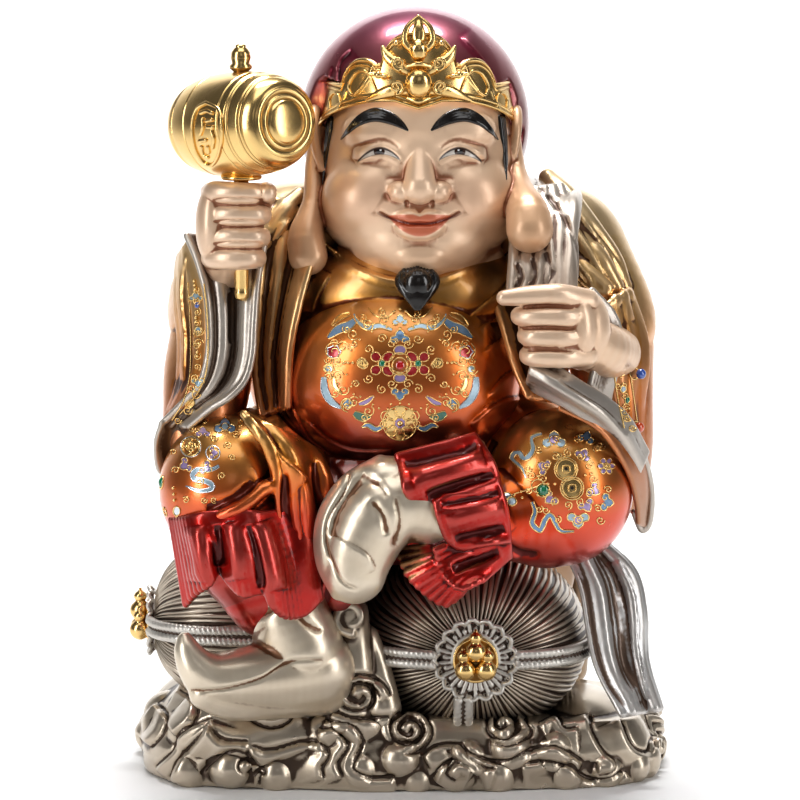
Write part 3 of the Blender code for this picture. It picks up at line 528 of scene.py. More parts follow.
def finish(made, slot, paint, *nodes, triangles=None):
    """Thins, paints and shifts a piece, and hides the solids that it stands for."""
    if triangles:
        thin(made, triangles)
    mesh = made.data
    mesh.shade_smooth()
    if triangles:
        note_hollows(mesh)
    mesh.transform(Matrix.Translation(SHIFT))
    mesh.materials.clear()
    mesh.materials.append(paint)
    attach(made, "root")
    if nodes:
        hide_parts(*nodes)
    return made


def skin_tree(*owners):
    """The outer skin of finished pieces, as rays see it, on the figure's own grid."""
    points, faces, count = [], [], 0
    for owner in owners:
        mesh = owner.data
        points += [vert.co - SHIFT for vert in mesh.vertices]
        faces += [[count + index for index in face.vertices] for face in mesh.polygons]
        count += len(mesh.vertices)
    return BVHTree.FromPolygons(points, faces)


# Paint


class Value:
    """A socket that carries a number, so that shader maths is written as Python maths."""

    def __init__(self, paint, socket):
        self.paint = paint
        self.socket = socket

    def __add__(self, other):
        return self.paint.maths("ADD", self, other)

    def __sub__(self, other):
        return self.paint.maths("SUBTRACT", self, other)

    def __rsub__(self, other):
        return self.paint.maths("SUBTRACT", other, self)

    def __mul__(self, other):
        return self.paint.maths("MULTIPLY", self, other)

    def __truediv__(self, other):
        return self.paint.maths("DIVIDE", self, other)

    def __pow__(self, other):
        return self.paint.maths("POWER", self, other)

    __radd__ = __add__
    __rmul__ = __mul__

    def least(self, other):
        return self.paint.maths("MINIMUM", self, other)

    def most(self, other):
        return self.paint.maths("MAXIMUM", self, other)

    def size(self):
        return self.paint.maths("ABSOLUTE", self, 0.0)

    def step(self, low, high):
        """0 below low, 1 above high, and a smooth rise between them."""
        made = self.paint.node("ShaderNodeMapRange", {"interpolation_type": "SMOOTHSTEP"},
                               {0: self, 1: low, 2: high, 3: 0.0, 4: 1.0})
        return Value(self.paint, made.outputs[0])


class Paint:
    """A material of procedural nodes."""

    def __init__(self, name):
        self.material = bpy.data.materials.new(name)
        self.material.use_nodes = True
        self.tree = self.material.node_tree
        self.shader = self.tree.nodes["Principled BSDF"]
        place = self.node("ShaderNodeTexCoord")
        self.place = place.outputs["Object"]
        parts = self.node("ShaderNodeSeparateXYZ", {}, {0: self.place})
        self.x = (Value(self, parts.outputs[0]) - SHIFT.x) * (1 / STEP)
        self.y = (Value(self, parts.outputs[1]) - SHIFT.y) * (1 / STEP)
        self.z = (Value(self, parts.outputs[2]) - SHIFT.z) * (1 / STEP)

    def node(self, kind, settings=None, sockets=None):
        """A new node. Its settings, or a ramp's stops, are set first, and then the values or links of its sockets."""
        made = self.tree.nodes.new(kind)
        for key, value in (settings or {}).items():
            if key == "stops":
                elements = made.color_ramp.elements
                elements[0].position, elements[-1].position = value[0][0], value[-1][0]
                elements[0].color, elements[-1].color = (*value[0][1], 1.0), (*value[-1][1], 1.0)
                for where, colour in value[1:-1]:
                    elements.new(where).color = (*colour, 1.0)
            else:
                setattr(made, key, value)
        for key, value in (sockets or {}).items():
            self.feed(made.inputs[key], value)
        return made

    def feed(self, socket, value):
        if isinstance(value, Value):
            value = value.socket
        if isinstance(value, bpy.types.NodeSocket):
            self.tree.links.new(value, socket)
        elif socket.type == "RGBA" and len(value) == 3:
            socket.default_value = (*value, 1.0)
        else:
            socket.default_value = value

    def maths(self, operation, first, second):
        made = self.node("ShaderNodeMath", {"operation": operation}, {0: first, 1: second})
        return Value(self, made.outputs[0])

    def kept(self, name):
        """A number kept at the vertices."""
        made = self.node("ShaderNodeAttribute", {"attribute_name": name})
        return Value(self, made.outputs["Fac"])

    def noise(self, scale, detail=2.0, stretch=None):
        place = self.place
        if stretch:
            place = self.node("ShaderNodeMapping", {}, {0: place, 3: stretch}).outputs[0]
        made = self.node("ShaderNodeTexNoise", {}, {"Vector": place, "Scale": scale, "Detail": detail})
        return Value(self, made.outputs[0])

    def mix(self, share, first, second):
        """first where share is 0 and second where it is 1."""
        made = self.node("ShaderNodeMix", {"data_type": "RGBA"}, {0: share, 6: first, 7: second})
        return made.outputs[2]

    def bands(self, value, *stops):
        """Colours that follow a value: stops are (value, colour), rising."""
        low, high = stops[0][0], stops[-1][0]
        placed = [((where - low) / (high - low), colour) for where, colour in stops]
        return self.node("ShaderNodeValToRGB", {"stops": placed}, {0: (value - low) * (1 / (high - low))}).outputs[0]

    def set(self, **values):
        """Sets or feeds the shader's own sockets, named with _ for a space."""
        for key, value in values.items():
            self.feed(self.shader.inputs[key.replace("_", " ")], value)

    def bump(self, height, strength, distance=0.0003):
        made = self.node("ShaderNodeBump", {}, {"Strength": strength, "Distance": distance, "Height": height})
        self.feed(self.shader.inputs["Normal"], made.outputs[0])


def lacquer(name, colour, patina_and_shade, metallic=0.6, roughness=0.36, coat=0.3, depth=0.92, edge=0.16, grain=0.06, start=0.3):
    """Pearl lacquer over carving. Patina and painted shade darken the hollows, the folds and the places that other
    pieces shelter, edges are lightened by rubbing and a painted highlight, and it is a little uneven.
    """
    paint = Paint(name)
    base = colour(paint) if callable(colour) else colour
    crease, hollow, shelter = paint.kept("crease"), paint.kept("hollow"), paint.kept("shelter")
    cloud = paint.noise(38.0, 3.0)
    # Patina and painted shade: darker in hollows and creases, and where other pieces shelter the place from light.
    deep = (hollow * 0.85 + crease * 0.75 + shelter * 1.9 + (cloud - 0.5) * 0.7).step(start, start + 0.85) * depth
    # Convex edges turned pale cream: rubbed edges and a painted highlight.
    edge_rubbing_and_highlight = (0.0 - crease - hollow * 0.4).step(0.25, 1.3) * edge
    tint = paint.mix((cloud - 0.35) * 0.5, base, tuple(part * 0.6 + other * 0.5 for part, other in zip(patina_and_shade, (0.2, 0.12, 0.06))))
    shaded = paint.mix(deep, tint, patina_and_shade)
    paint.set(Base_Color=paint.mix(edge_rubbing_and_highlight, shaded, (0.95, 0.86, 0.74)))
    paint.set(Metallic=metallic, Coat_Weight=coat, Coat_Roughness=0.08)
    paint.set(Roughness=(paint.noise(90.0, 2.0) - 0.5) * 0.12 + deep * 0.14 + roughness)
    paint.bump(paint.noise(1800.0, 1.0) + paint.noise(240.0, 2.0) * 1.6, grain)
    return paint.material


def gilding(name, colour, roughness=0.24, crevice_darkening=0.8):
    """Polished metal, darker in its engraved lines and hollows."""
    paint = Paint(name)
    crease, hollow = paint.kept("crease"), paint.kept("hollow")
    deep = (crease + hollow * 0.8 + (paint.noise(120.0) - 0.5) * 0.4).step(0.1, 0.9) * crevice_darkening
    paint.set(Base_Color=paint.mix(deep, colour, tuple(part * share for part, share in zip(colour, (0.30, 0.2, 0.1)))))
    paint.set(Metallic=1.0, Roughness=deep * 0.25 + (paint.noise(160.0) - 0.5) * 0.06 + roughness)
    paint.bump(paint.noise(1500.0, 1.0) + paint.noise(300.0, 2.0), 0.05)
    return paint.material


def enamel(name, colour, roughness=0.22, metallic=0.35):
    """Soft enamel between the wires."""
    paint = Paint(name)
    cloud = paint.noise(700.0, 2.0)
    paint.set(Base_Color=paint.mix((cloud - 0.3) * 0.9, colour, tuple(min(1.0, 0.15 + part * 1.25) for part in colour)))
    paint.set(Metallic=metallic, Roughness=(cloud - 0.5) * 0.1 + roughness, Coat_Weight=0.5)
    return paint.material


def gem(name, colour):
    """A glass stone, lighter in uneven patches."""
    paint = Paint(name)
    cloud = paint.noise(900.0, 1.0)
    paint.set(Base_Color=paint.mix((cloud - 0.35) * 1.2, colour, tuple(min(1.0, part * 1.9 + 0.02) for part in colour)))
    paint.set(Roughness=(cloud - 0.5) * 0.04 + 0.06, Coat_Weight=1.0, Specular_IOR_Level=0.8)
    return paint.material


# Places that the solids also have

BASE_HALF_WIDTH = 131.0
BASE_HALF_DEPTH = 77.0
FRONT_BALE = {"centre": (37.0, -8.0, 65.0), "radii": (57.0, 46.0), "half_length": 62.0, "axis": (0, -1, 0), "cap": 19.0}
SIDE_BALE = {"centre": (-70.0, 0.0, 72.0), "radii": (46.0, 41.0), "half_length": 54.0, "axis": (-1, 0, 0), "cap": 16.0}
RIGHT_GRIP = (-77.0, -62.0)
FIST_TOP = 300.0
FIST_FOOT = 256.0
HEAD = (9.5, -18.0, 301.0)
CHEST = ((5.0, -20.0, 234.0), (60.0, 46.0, 40.0))


def base_rim(degrees, height=0.0, out=0.0):
    """A point of the base's side on the figure's grid. Degrees run from the middle of the front towards +X."""
    squareness = 3.2
    angle = math.radians(degrees - 90.0)
    c, s = math.cos(angle), math.sin(angle)
    reach = (abs(c) ** squareness + abs(s) ** squareness) ** (-1 / squareness)
    reach *= 1 + 0.012 * math.sin(7 * angle) + 0.010 * math.cos(11 * angle)
    out -= 0.022 * max(0.0, height - 12.0) ** 2 + 0.03 * max(0.0, 6.0 - height) ** 2
    return Vector((c * reach * (BASE_HALF_WIDTH + out), s * reach * (BASE_HALF_DEPTH + out), height))


def chest_front(x, z):
    """How far forward the chest reaches at this place of the figure's grid."""
    (cx, cy, cz), (rx, ry, rz) = CHEST
    return cy - ry * math.sqrt(max(0.0, 1 - ((x - cx) / rx) ** 2 - ((z - cz) / rz) ** 2))


# Head, hair and hands


def face_view():
    return Side(HEAD, (0, 1, 0))


def skull_clay():
    """The full round form of the head, which is eased until its lumps are one smooth surface."""
    clay = Clay()
    x, y, z = HEAD
    ball(clay, HEAD, (48, 47, 54))
    ball(clay, (x, y + 5, z + 22), (45, 47.5, 34))
    ball(clay, (x, y - 8, z - 17), (50, 44, 32))
    for hand in (-1, 1):
        ball(clay, (x + hand * 22, y - 22, z - 10), (26, 27, 23), turn=(0, hand * 15, 0))
        ball(clay, (x + hand * 18, y - 27, z + 22), (20, 14, 12))
    ball(clay, (x, y - 20, z - 30), (36, 32, 24))
    ball(clay, (x, y - 27, z - 15), (28, 22, 18))
    ball(clay, (x, y - 2, z - 44), (43, 37, 17))
    ball(clay, (x, y - 32, z + 4), (20, 16, 26))
    ball(clay, (x, y - 39, z - 38), (18, 13, 12))
    return clay


def head_clay():
    """Features that are set on the eased head: lids, nose, lips, ears and throat."""
    clay = Clay()
    x, y, z = HEAD
    for hand in (-1, 1):
        ball(clay, (x + hand * 20, y - 33.2, z + 11), (12.5, 9.5, 7.5))
        ball(clay, (x + hand * 23, y - 36.0, z - 7), (14.5, 12.0, 11.5))
        ball(clay, (x + hand * 13, y - 42.5, z - 6), (8.5, 6.5, 7.0))
    limb(clay, (x, y - 38, z + 20, 4.8), (x, y - 43, z + 9, 6.2), (x, y - 47.5, z + 1, 7.4), (x, y - 50.5, z - 4, 8.4))
    ball(clay, (x, y - 50.0, z - 5), (9.6, 8.4, 7.2))
    for hand in (-1, 1):
        ball(clay, (x + hand * 8.6, y - 47.4, z - 6.4), (7.4, 7.4, 5.6))
    limb(clay, (x - 18, y - 44, z - 15.5, 1.8), (x - 11, y - 48.0, z - 18.0, 3.4), (x - 4.5, y - 50.6, z - 18.4, 4.4),
         (x, y - 50.8, z - 19.0, 4.0), (x + 4.5, y - 50.6, z - 18.4, 4.4), (x + 11, y - 48.0, z - 18.0, 3.4),
         (x + 18, y - 44, z - 15.5, 1.8))
    limb(clay, (x - 13, y - 46.0, z - 21.0, 2.4), (x - 7, y - 49.2, z - 24.4, 4.6), (x, y - 50.6, z - 25.6, 5.0),
         (x + 7, y - 49.2, z - 24.4, 4.6), (x + 13, y - 46.0, z - 21.0, 2.4))
    ball(clay, (x, y - 43.0, z - 37), (15, 10, 9))
    # Ears with their long lobes
    for side, spots in ((-1, ((-40, -14, 320, 4.5), (-42, -22, 304, 5), (-43, -33, 286, 5.4), (-46, -41, 270, 9.0),
                              (-45, -44, 261, 9.8))),
                        (1, ((55, -12, 324, 4.5), (56, -22, 308, 5), (58, -40, 295, 6.4), (62, -59, 283, 10.8),
                             (63, -64, 276, 11.5)))):
        limb(clay, *spots)
        x0 = spots[0][0]
        limb(clay, (x0 - side * 2, -30, 303, 2.6), (x0 + side * 1, -30, 312, 2.6), (x0 + side * 2.5, -26, 324, 2.8),
             (x0 + side * 2, -16, 330, 3.2), (x0 + side * 1, -8, 322, 3.2))
    # Throat
    limb(clay, (5, -30, 262, 26), (5, -22, 245, 28))
    return clay


def face_lines():
    """Creases of the smile: lids, the corners of the mouth, cheeks and chin, about the middle of the head."""
    made = Carving(face_view(), unit=1.0)
    for hand in (-1, 1):
        def spot(*pairs):
            return [(hand * u, v) for u, v in pairs]
        made.ridge(*spot((8.0, 9.0), (13, 13.6), (19.8, 15.6), (26.5, 13.2), (32.5, 8.0)), width=1.4, depth=0.7)
        made.ridge(*spot((10.0, 14.4), (14, 17.4), (19.8, 18.7), (26.0, 16.8), (31, 13.0)), width=1.3, depth=-0.4)
        made.ridge(*spot((9.5, 8.8), (14, 12.0), (19.8, 13.6), (25.6, 11.8), (31.0, 7.4)), width=1.6, depth=-0.5)
        made.ridge(*spot((9.5, 7.4), (14, 9.8), (19.8, 10.8), (25.6, 9.4), (31.0, 6.0)), width=1.3, depth=0.6)
        made.ridge(*spot((13.0, 4.8), (18, 5.4), (25, 5.0), (30, 4.0)), width=1.6, depth=-0.2)
        made.ridge(*spot((16.0, -7.0), (19.0, -11.0), (21.5, -15.0), (22.0, -18.0)), width=2.4, depth=-0.5)
        made.ridge(*spot((7.6, -11.6), (5.0, -11.8)), width=1.5, depth=-0.8, taper=0.4)
        made.ridge(*spot((13.6, -10.0), (15.4, -7.4), (14.4, -4.0)), width=1.5, depth=-0.35, taper=0.4)
    made.ridge((0, -13.4), (0, -16.4), width=1.6, depth=-0.35, taper=0.4)
    made.ridge((-20.0, -15.8), (-12.5, -19.8), (-5, -21.6), (0, -21.2), (5, -21.6), (12.5, -19.8), (20.0, -15.8),
               width=0.8, depth=-1.6, taper=0.05)
    made.ridge((-9, -31.0), (-4, -32.2), (4, -32.2), (9, -31.0), width=2.8, depth=-0.45, taper=0.4)
    return made


def skin_paint(paint_set):
    """Pearl skin with a painted face: eyes between two arcs with a painted highlight, lips, and warmer cheeks. Patina
    and painted shade darken its creases, and painted shade browns the face towards its edges.
    """
    paint = Paint("skin")
    skin = tuple(paint_set.skin)
    u, v = paint.x - HEAD[0], paint.z - HEAD[2]
    front = (0.0 - paint.y).step(45.0, 50.0)
    eye = u.size() - 19.8
    bow = 1.0 - (eye / 10.8) ** 2
    upper, lower = 7.6 + bow * 6.6 - eye * 0.08, 7.6 + bow * 3.7 - eye * 0.08
    inside = (v - lower).step(-0.15, 0.25) * (upper - v).step(-0.15, 0.25) * bow.step(0.0, 0.06) * front
    iris_far = ((eye + 0.2) ** 2 + (v - 12.8) ** 2) ** 0.5
    iris = 1.0 - iris_far.step(2.5, 2.9)
    pupil = 1.0 - iris_far.step(1.1, 1.5)
    # A painted highlight: a white dot in each eye.
    glint = 1.0 - (((eye + 0.9) ** 2 + (v - 13.4) ** 2) ** 0.5).step(0.35, 0.65)
    lash = (1.0 - (v - upper).size().step(0.25, 0.95)) * bow.step(0.0, 0.2) * front
    lash = lash.most((1.0 - (v - lower).size().step(0.05, 0.45)) * bow.step(0.0, 0.2) * front * 0.5)
    lip_bow = 1.0 - (u / 16.5) ** 2
    lip_top = -18.0 + lip_bow * 1.4 - (1.0 - (u / 3.5).size().least(1.0)) * 1.1
    lip_low = -17.0 - lip_bow * 10.4
    lips = (lip_top - v).step(-0.5, 0.5) * (v - lip_low).step(-0.5, 0.6) * lip_bow.step(0.0, 0.25) * front
    mouth = (1.0 - (v + 21.6 - (u / 21.5) ** 2 * 5.4).size().step(0.2, 0.9)) * (1.0 - u.size().step(17.0, 22.0)) * front
    crease, hollow, shelter = paint.kept("crease"), paint.kept("hollow"), paint.kept("shelter")
    cloud = paint.noise(60.0, 2.0)
    warm = ((u.size() - 25.0) / 17.0) ** 2 + ((v + 10.0) / 13.0) ** 2
    warm = (1.0 - warm.step(0.1, 1.4)) * 0.2 * front
    tint = paint.mix(warm, skin, (0.80, 0.40, 0.26))
    tint = paint.mix((cloud - 0.4) * 0.25, tint, (0.84, 0.66, 0.48))
    # Painted shade: browner towards the sides and the bottom of the face.
    rim = u.size().step(26.0, 47.0).most((0.0 - v).step(28.0, 50.0)) * 0.5
    tint = paint.mix(rim, tint, (0.50, 0.24, 0.09))
    # Patina and painted shade: darker in hollows and creases, and where other pieces shelter the face.
    deep = (hollow * 0.7 + crease * 0.6 + shelter * 1.15).step(0.18, 1.15) * 0.9
    tint = paint.mix(deep, tint, (0.27, 0.085, 0.03))
    tint = paint.mix(lips * 0.82, tint, (0.56, 0.10, 0.035))
    tint = paint.mix(mouth * 0.85, tint, (0.12, 0.018, 0.012))
    tint = paint.mix(inside, tint, (0.66, 0.60, 0.54))
    tint = paint.mix(inside * iris, tint, (0.04, 0.015, 0.007))
    tint = paint.mix(inside * pupil, tint, (0.004, 0.003, 0.003))
    tint = paint.mix(inside * glint, tint, (0.95, 0.95, 0.95))
    tint = paint.mix(lash * 0.94, tint, (0.03, 0.012, 0.007))
    paint.set(Base_Color=tint, Metallic=(1.0 - inside.most(lips * 0.6).most(lash)) * 0.34)
    paint.set(Roughness=(1.0 - inside) * 0.26 + 0.12 + (cloud - 0.5) * 0.08 - lips * 0.08, Coat_Weight=0.25)
    paint.set(Coat_Roughness=0.16)
    paint.bump(paint.noise(1600.0, 1.0), 0.03)
    return paint.material


def hair_clay(seat):
    """Brows, side hair and goatee, pressed on the skin."""
    clay = Clay()
    view = face_view()

    def on_face(u, v, lift):
        start, way = view.ray(u, v)
        hit = seat.ray_cast(start, way)[0]
        spot = (hit if hit is not None else Vector(at(*HEAD))) / STEP
        return Vector((spot.x, spot.y - lift, spot.z))

    for hand in (-1, 1):
        brow = ((5.5, 23.0, 0.7), (9.5, 26.2, 2.2), (15, 29.0, 3.2), (22, 30.0, 3.3), (29, 27.4, 2.7), (34.5, 22.4, 1.8),
                (38.5, 16.8, 0.6))
        for drop in (-0.75, -0.25, 0.25, 0.75):
            limb(clay, *[(*on_face(hand * u, v + drop * r * 0.8, -0.1), r * 0.45) for u, v, r in brow], spacing=0.35)
    for path in (((331, 120, 2.6), (329, 136, 2.4), (326, 158, 1.7), (322.5, 184, 0.5)),
                 ((501, 118, 2.6), (503, 136, 2.4), (505, 156, 1.7), (506.5, 180, 0.5))):
        for shift in (-1.6, 0.0, 1.6):
            stations = []
            for u, v, r in path:
                start, way = PICTURE_VIEW.ray(u + shift * r / 2.6, v)
                hit = seat.ray_cast(start, way)[0]
                if hit is not None:
                    stations.append((*(hit / STEP), r * 0.62))
            if len(stations) > 1:
                limb(clay, *stations, spacing=0.3)
    x, y = HEAD[0] - 1.0, HEAD[1] - 51
    for index in range(9):
        turn = (index - 4) / 4
        limb(clay, (x + turn * 5.2, y + 2.0 + abs(turn) * 1.5, 260.5 - abs(turn) * 2.5, 1.0),
             (x + turn * 8.6, y - 2.6 + abs(turn) * 3.6, 252.0 - abs(turn) * 0.6, 2.7),
             (x + turn * 5.2, y - 5.4 + abs(turn) * 1.8, 245.5, 2.4), (x + turn * 0.9, y - 6.4, 238.4, 0.9))
    ball(clay, (x, y - 2.6, 250.0), (7, 5.2, 8.0))
    return clay


def hair_lines():
    made = Carving(face_view(), unit=1.0)
    for index in range(9):
        turn = (index - 4) / 4
        made.ridge((turn * 4.5 - 1.0, -40.0), (turn * 6.4 - 1.0, -45.5), width=0.4, depth=-0.5, taper=0.05)
    return made


def hands_clay():
    clay = Clay()
    hx, hy = RIGHT_GRIP
    ball(clay, (hx - 6, hy + 4, 277), (14, 12, 22))
    ball(clay, (hx - 14, hy, 278), (8.5, 12, 20))
    for z, reach in ((294.4, 0.0), (283.8, 1.0), (273.0, 0.5), (262.6, -1.5)):
        limb(clay, (hx - 15, hy + 4, z - 1, 5.4), (hx - 12, hy - 5, z, 5.7), (hx - 3, hy - 10, z, 5.7),
             (hx + 6 + reach, hy - 9, z, 5.4), (hx + 9 + reach, hy - 2, z - 0.5, 5.1), (hx + 5, hy + 3, z - 1, 4.8))
    limb(clay, (hx + 0, hy + 8, 280, 9), (hx + 8, hy + 5, 289, 7), (hx + 12, hy - 3, 294, 5.6), (hx + 13, hy - 9, 294.6, 4.6))
    limb(clay, (hx - 7, hy + 4, 266, 12.5), (hx - 8, hy + 12, 258, 11.5), (hx - 9, hy + 22, 250, 11))
    ball(clay, (88, -78, 229), (14, 12, 20))
    limb(clay, (90, -82, 243, 6.5), (76, -90, 247, 5.8), (62, -92, 247, 5.2), (50, -92, 246, 4.0))
    for z, tip in ((236.5, 58), (227, 61), (217.5, 62)):
        limb(clay, (90, -84, z, 5.9), (78, -92, z, 5.7), (66, -92, z, 5.4), (tip, -87, z, 4.9), (tip + 2, -80, z, 4.6))
    ball(clay, (86, -86, 230), (9, 8, 16))
    ball(clay, (72, -78, 230), (15, 9, 16))
    limb(clay, (88, -76, 224, 13), (98, -66, 218, 13.5), (104, -52, 214, 14))
    return clay


def hand_lines():
    made = Carving(PICTURE_VIEW)
    for v in (199, 221, 243):
        made.ridge((212, v + 1), (232, v - 1), (264, v + 1), width=0.9, depth=-0.8)
    for v in (307, 328.5, 351):
        made.ridge((522, v), (548, v - 1), (574, v + 1), width=0.9, depth=-0.8)
    return made


# Head cloth and crown


def hood_clay():
    clay = Clay()
    ball(clay, (7.3, 3, 322), (57.0, 53, 58))
    ball(clay, (7, 22, 296), (52, 42, 50))
    for hand in (-1, 1):
        limb(clay, (7 + hand * 38, 20, 354, 6), (7 + hand * 43, 38, 330, 7), (7 + hand * 40, 52, 298, 7), flat=0.7)
    limb(clay, (7, 36, 368, 6), (7, 54, 348, 7), (7, 62, 318, 8), (7, 60, 286, 9))
    return clay


def hood_lines():
    made = Carving(PICTURE_VIEW)
    made.lip((341, 92), (336, 78), (340, 60), (352, 48), width=5, depth=-1.4)
    made.lip((331, 98), (328, 82), (332, 66), width=4, depth=-1.0)
    made.lip((500, 96), (490, 72), (476, 52), (462, 38), width=6, depth=1.2)
    made.ridge((519, 100), (524, 125), (518, 152), width=1.8, depth=-0.7)
    made.ridge((312, 104), (306, 124), (312, 146), width=1.8, depth=-0.7)
    return made


CROWN_AXIS = (9.0, -12.0)
CROWN_REACH = (45.0, 46.5)
CROWN_FOOT = 337.0
CROWN_LEAN = 0.20
CROWN_HALF_SPREAD = 82.0
CROWN_THICKNESS = 2.2


def crown_outline(degrees):
    """The lowest and highest point of the crown at this angle from its middle, on the figure's grid."""
    spread = abs(degrees)
    low = CROWN_FOOT - 3.0 + 3.5 * min(1.0, spread / 14.0) - 15.0 * (max(0.0, spread - 22.0) / 60.0) ** 1.6
    middle = 356.0 + 15.5 * max(0.0, 1.0 - (spread / 25.0) ** 2.6) ** 0.5
    second = 345.0 + 13.0 * max(0.0, 1.0 - (abs(spread - 39.0) / 17.0) ** 2.2) ** 0.5
    third = 334.0 + 10.0 * max(0.0, 1.0 - (abs(spread - 65.0) / 17.0) ** 2.2) ** 0.5
    return low, max(middle if spread < 28 else 0.0, second, third, low + 11.0)


def crown_place(degrees, level, reach):
    lean = CROWN_LEAN * (level - CROWN_FOOT)
    angle = math.radians(degrees)
    return Vector((CROWN_AXIS[0] + (CROWN_REACH[0] - lean + reach) * math.sin(angle),
                   CROWN_AXIS[1] - (CROWN_REACH[1] - lean + reach) * math.cos(angle), level))


def press_under_crown(made):
    """Pushes the head cloth in behind the crown, and behind the brow below it."""
    mesh = made.data
    points = points_of(mesh)
    for index, (x, y, z) in enumerate(points / STEP):
        if not 300 < z < 378:
            continue
        across, ahead = x - CROWN_AXIS[0], -(y - CROWN_AXIS[1])
        degrees = math.degrees(math.atan2(across, ahead))
        spread = abs(degrees)
        if spread > 96:
            continue
        low, high = crown_outline(min(spread, CROWN_HALF_SPREAD))
        lean = CROWN_LEAN * (z - CROWN_FOOT)
        reach = math.hypot(across / (CROWN_REACH[0] - lean), ahead / (CROWN_REACH[1] - lean))
        limit = 0.985
        limit -= 0.20 * min(1.0, max(0.0, (low + 3 - z) / 5.0))
        limit += 0.30 * max(0.0, (z - high + 0.5) / 9.0) + 0.35 * max(0.0, (spread - 80) / 12.0)
        if reach > limit:
            scale = limit / reach
            points[index] = at(CROWN_AXIS[0] + across * scale, CROWN_AXIS[1] - ahead * scale, z)
    put_points(mesh, points)


def crown_band():
    """The scalloped band, with a double border that follows its edges."""
    shapes = bmesh.new()
    sheets = []
    for outside in (False, True):
        made = bmesh.ops.create_grid(shapes, x_segments=300, y_segments=64, size=0.5)["verts"]
        for vert in made:
            degrees = 2 * vert.co.x * CROWN_HALF_SPREAD
            low, high = crown_outline(degrees)
            level = low + (high - low) * (vert.co.y + 0.5)
            reach = 0.0
            if outside:
                top, foot = high - level, level - low
                reach = CROWN_THICKNESS - 0.9
                reach += 1.0 * math.exp(-(((top - 0.9) / 0.75) ** 2)) + 0.55 * math.exp(-(((top - 3.1) / 0.5) ** 2))
                reach += 1.0 * math.exp(-(((foot - 1.0) / 0.8) ** 2)) + 0.7 * math.exp(-(((foot - 3.4) / 0.6) ** 2))
                reach += 0.28 * (math.sin(degrees * 3.2) * 0.5 + 0.5) * math.exp(-(((foot - 2.2) / 0.5) ** 2))
            vert.co = at(*crown_place(degrees, level, reach))
        chosen = set(made)
        edges = {edge for vert in made for edge in vert.link_edges}
        sheets.append([edge for edge in edges if len(edge.link_faces) == 1 and edge.verts[0] in chosen])
    bmesh.ops.bridge_loops(shapes, edges=[*sheets[0], *sheets[1]])
    bmesh.ops.recalc_face_normals(shapes, faces=shapes.faces)
    mesh = bpy.data.meshes.new("crown")
    shapes.to_mesh(mesh)
    shapes.free()
    return object_of("crown", mesh)


def crown_lines():
    made = Carving(PICTURE_VIEW)
    for mirror in (1, -1):
        def spot(*pairs):
            return [(419 + mirror * (u - 419), v) for u, v in pairs]
        made.ridge(*spot((373, 64), (369, 76), (361, 88), (352, 99)), width=0.6, depth=0.5)
        made.ridge(*spot((347, 89), (343, 100), (337, 109)), width=0.6, depth=0.45)
    return made


def crown_jewel_clay():
    """The bud, ball and four leaves at the crown's middle, and small curls beside them."""
    clay = Clay()
    x = CROWN_AXIS[0]
    front = CROWN_AXIS[1] - CROWN_REACH[1] - 0.6 * CROWN_THICKNESS
    ball(clay, (x, front - 1.9, 347.0), (6.4, 4.8, 7.2))
    limb(clay, (x - 5.4, front - 0.6, 355.2, 1.2), (x, front - 2.8, 356.4, 1.4), (x + 5.4, front - 0.6, 355.2, 1.2))
    limb(clay, (x - 5.0, front - 0.4, 339.6, 1.1), (x, front - 2.2, 338.2, 1.3), (x + 5.0, front - 0.4, 339.6, 1.1))
    ball(clay, (x, front + 0.6, 362.5), (4.4, 3.4, 5.4))
    for hand in (-1, 1):
        limb(clay, (x + hand * 1.5, front + 1.8, 361, 1.8), (x + hand * 6.6, front + 2.6, 367, 1.9),
             (x + hand * 5.4, front + 4.2, 373.6, 1.5), (x, front + 5.8, 379.0, 0.8))
    limb(clay, (x, front + 2.2, 367, 3.0), (x, front + 3.4, 371, 3.4), (x, front + 5.0, 376, 1.6), flat=0.5, facing=(0, 1, 0))
    for hand in (-1, 1):
        limb(clay, (x + hand * 5, front + 0.2, 343.5, 2.4), (x + hand * 11, front + 0.8, 343.6, 3.4),
             (x + hand * 18, front + 3.2, 341.4, 2.8), (x + hand * 25, front + 6.6, 338.2, 1.2), flat=0.7, facing=(0, 1, 0))
        curl(clay, (x + hand * 10.5, front - 1.6, 345.2), (hand, 0.1, 0), (0, 0, 1), 3.4, hand=-1, thick=0.26)
        limb(clay, (x + hand * 5, front + 0.6, 352.5, 2.2), (x + hand * 10, front + 1.4, 355.6, 3.2),
             (x + hand * 15, front + 3.4, 359.4, 2.6), (x + hand * 17.5, front + 5.2, 364.0, 1.0), flat=0.7, facing=(0, 1, 0))
        curl(clay, (x + hand * 9.5, front - 0.8, 356.4), (hand, 0.1, 0), (0, 0, 1), 3.2, hand=1, thick=0.26)
        ball(clay, (x + hand * 11.0, front + 2.4, 366.0), 1.6)
        ball(clay, (x + hand * 19.5, front + 3.6, 350.5), 1.9)
        limb(clay, (x + hand * 16, front + 2.4, 350, 1.0), (x + hand * 24.0, front + 5.8, 351.0, 1.0))
        limb(clay, *[(*crown_place(hand * degrees, level, 1.6), 0.8) for degrees, level in
                     ((27, 343), (32, 349), (38, 352), (45, 350), (49, 344), (45, 340), (40, 342))])
        limb(clay, *[(*crown_place(hand * degrees, level, 1.6), 0.7) for degrees, level in
                     ((54, 334), (58, 339), (64, 340), (69, 337), (66, 332))])
    return clay


# Mallet

MALLET_WAY = (0.62, -0.77, 0.10)
MALLET_LENGTH = 70.0
MALLET_BELLY_RADIUS = 25.5
MALLET_FACE_RADIUS = 17.2


def mallet_centre():
    return Vector((*RIGHT_GRIP, FIST_TOP + 0.4 + 3.0 + 0.93 * MALLET_BELLY_RADIUS))


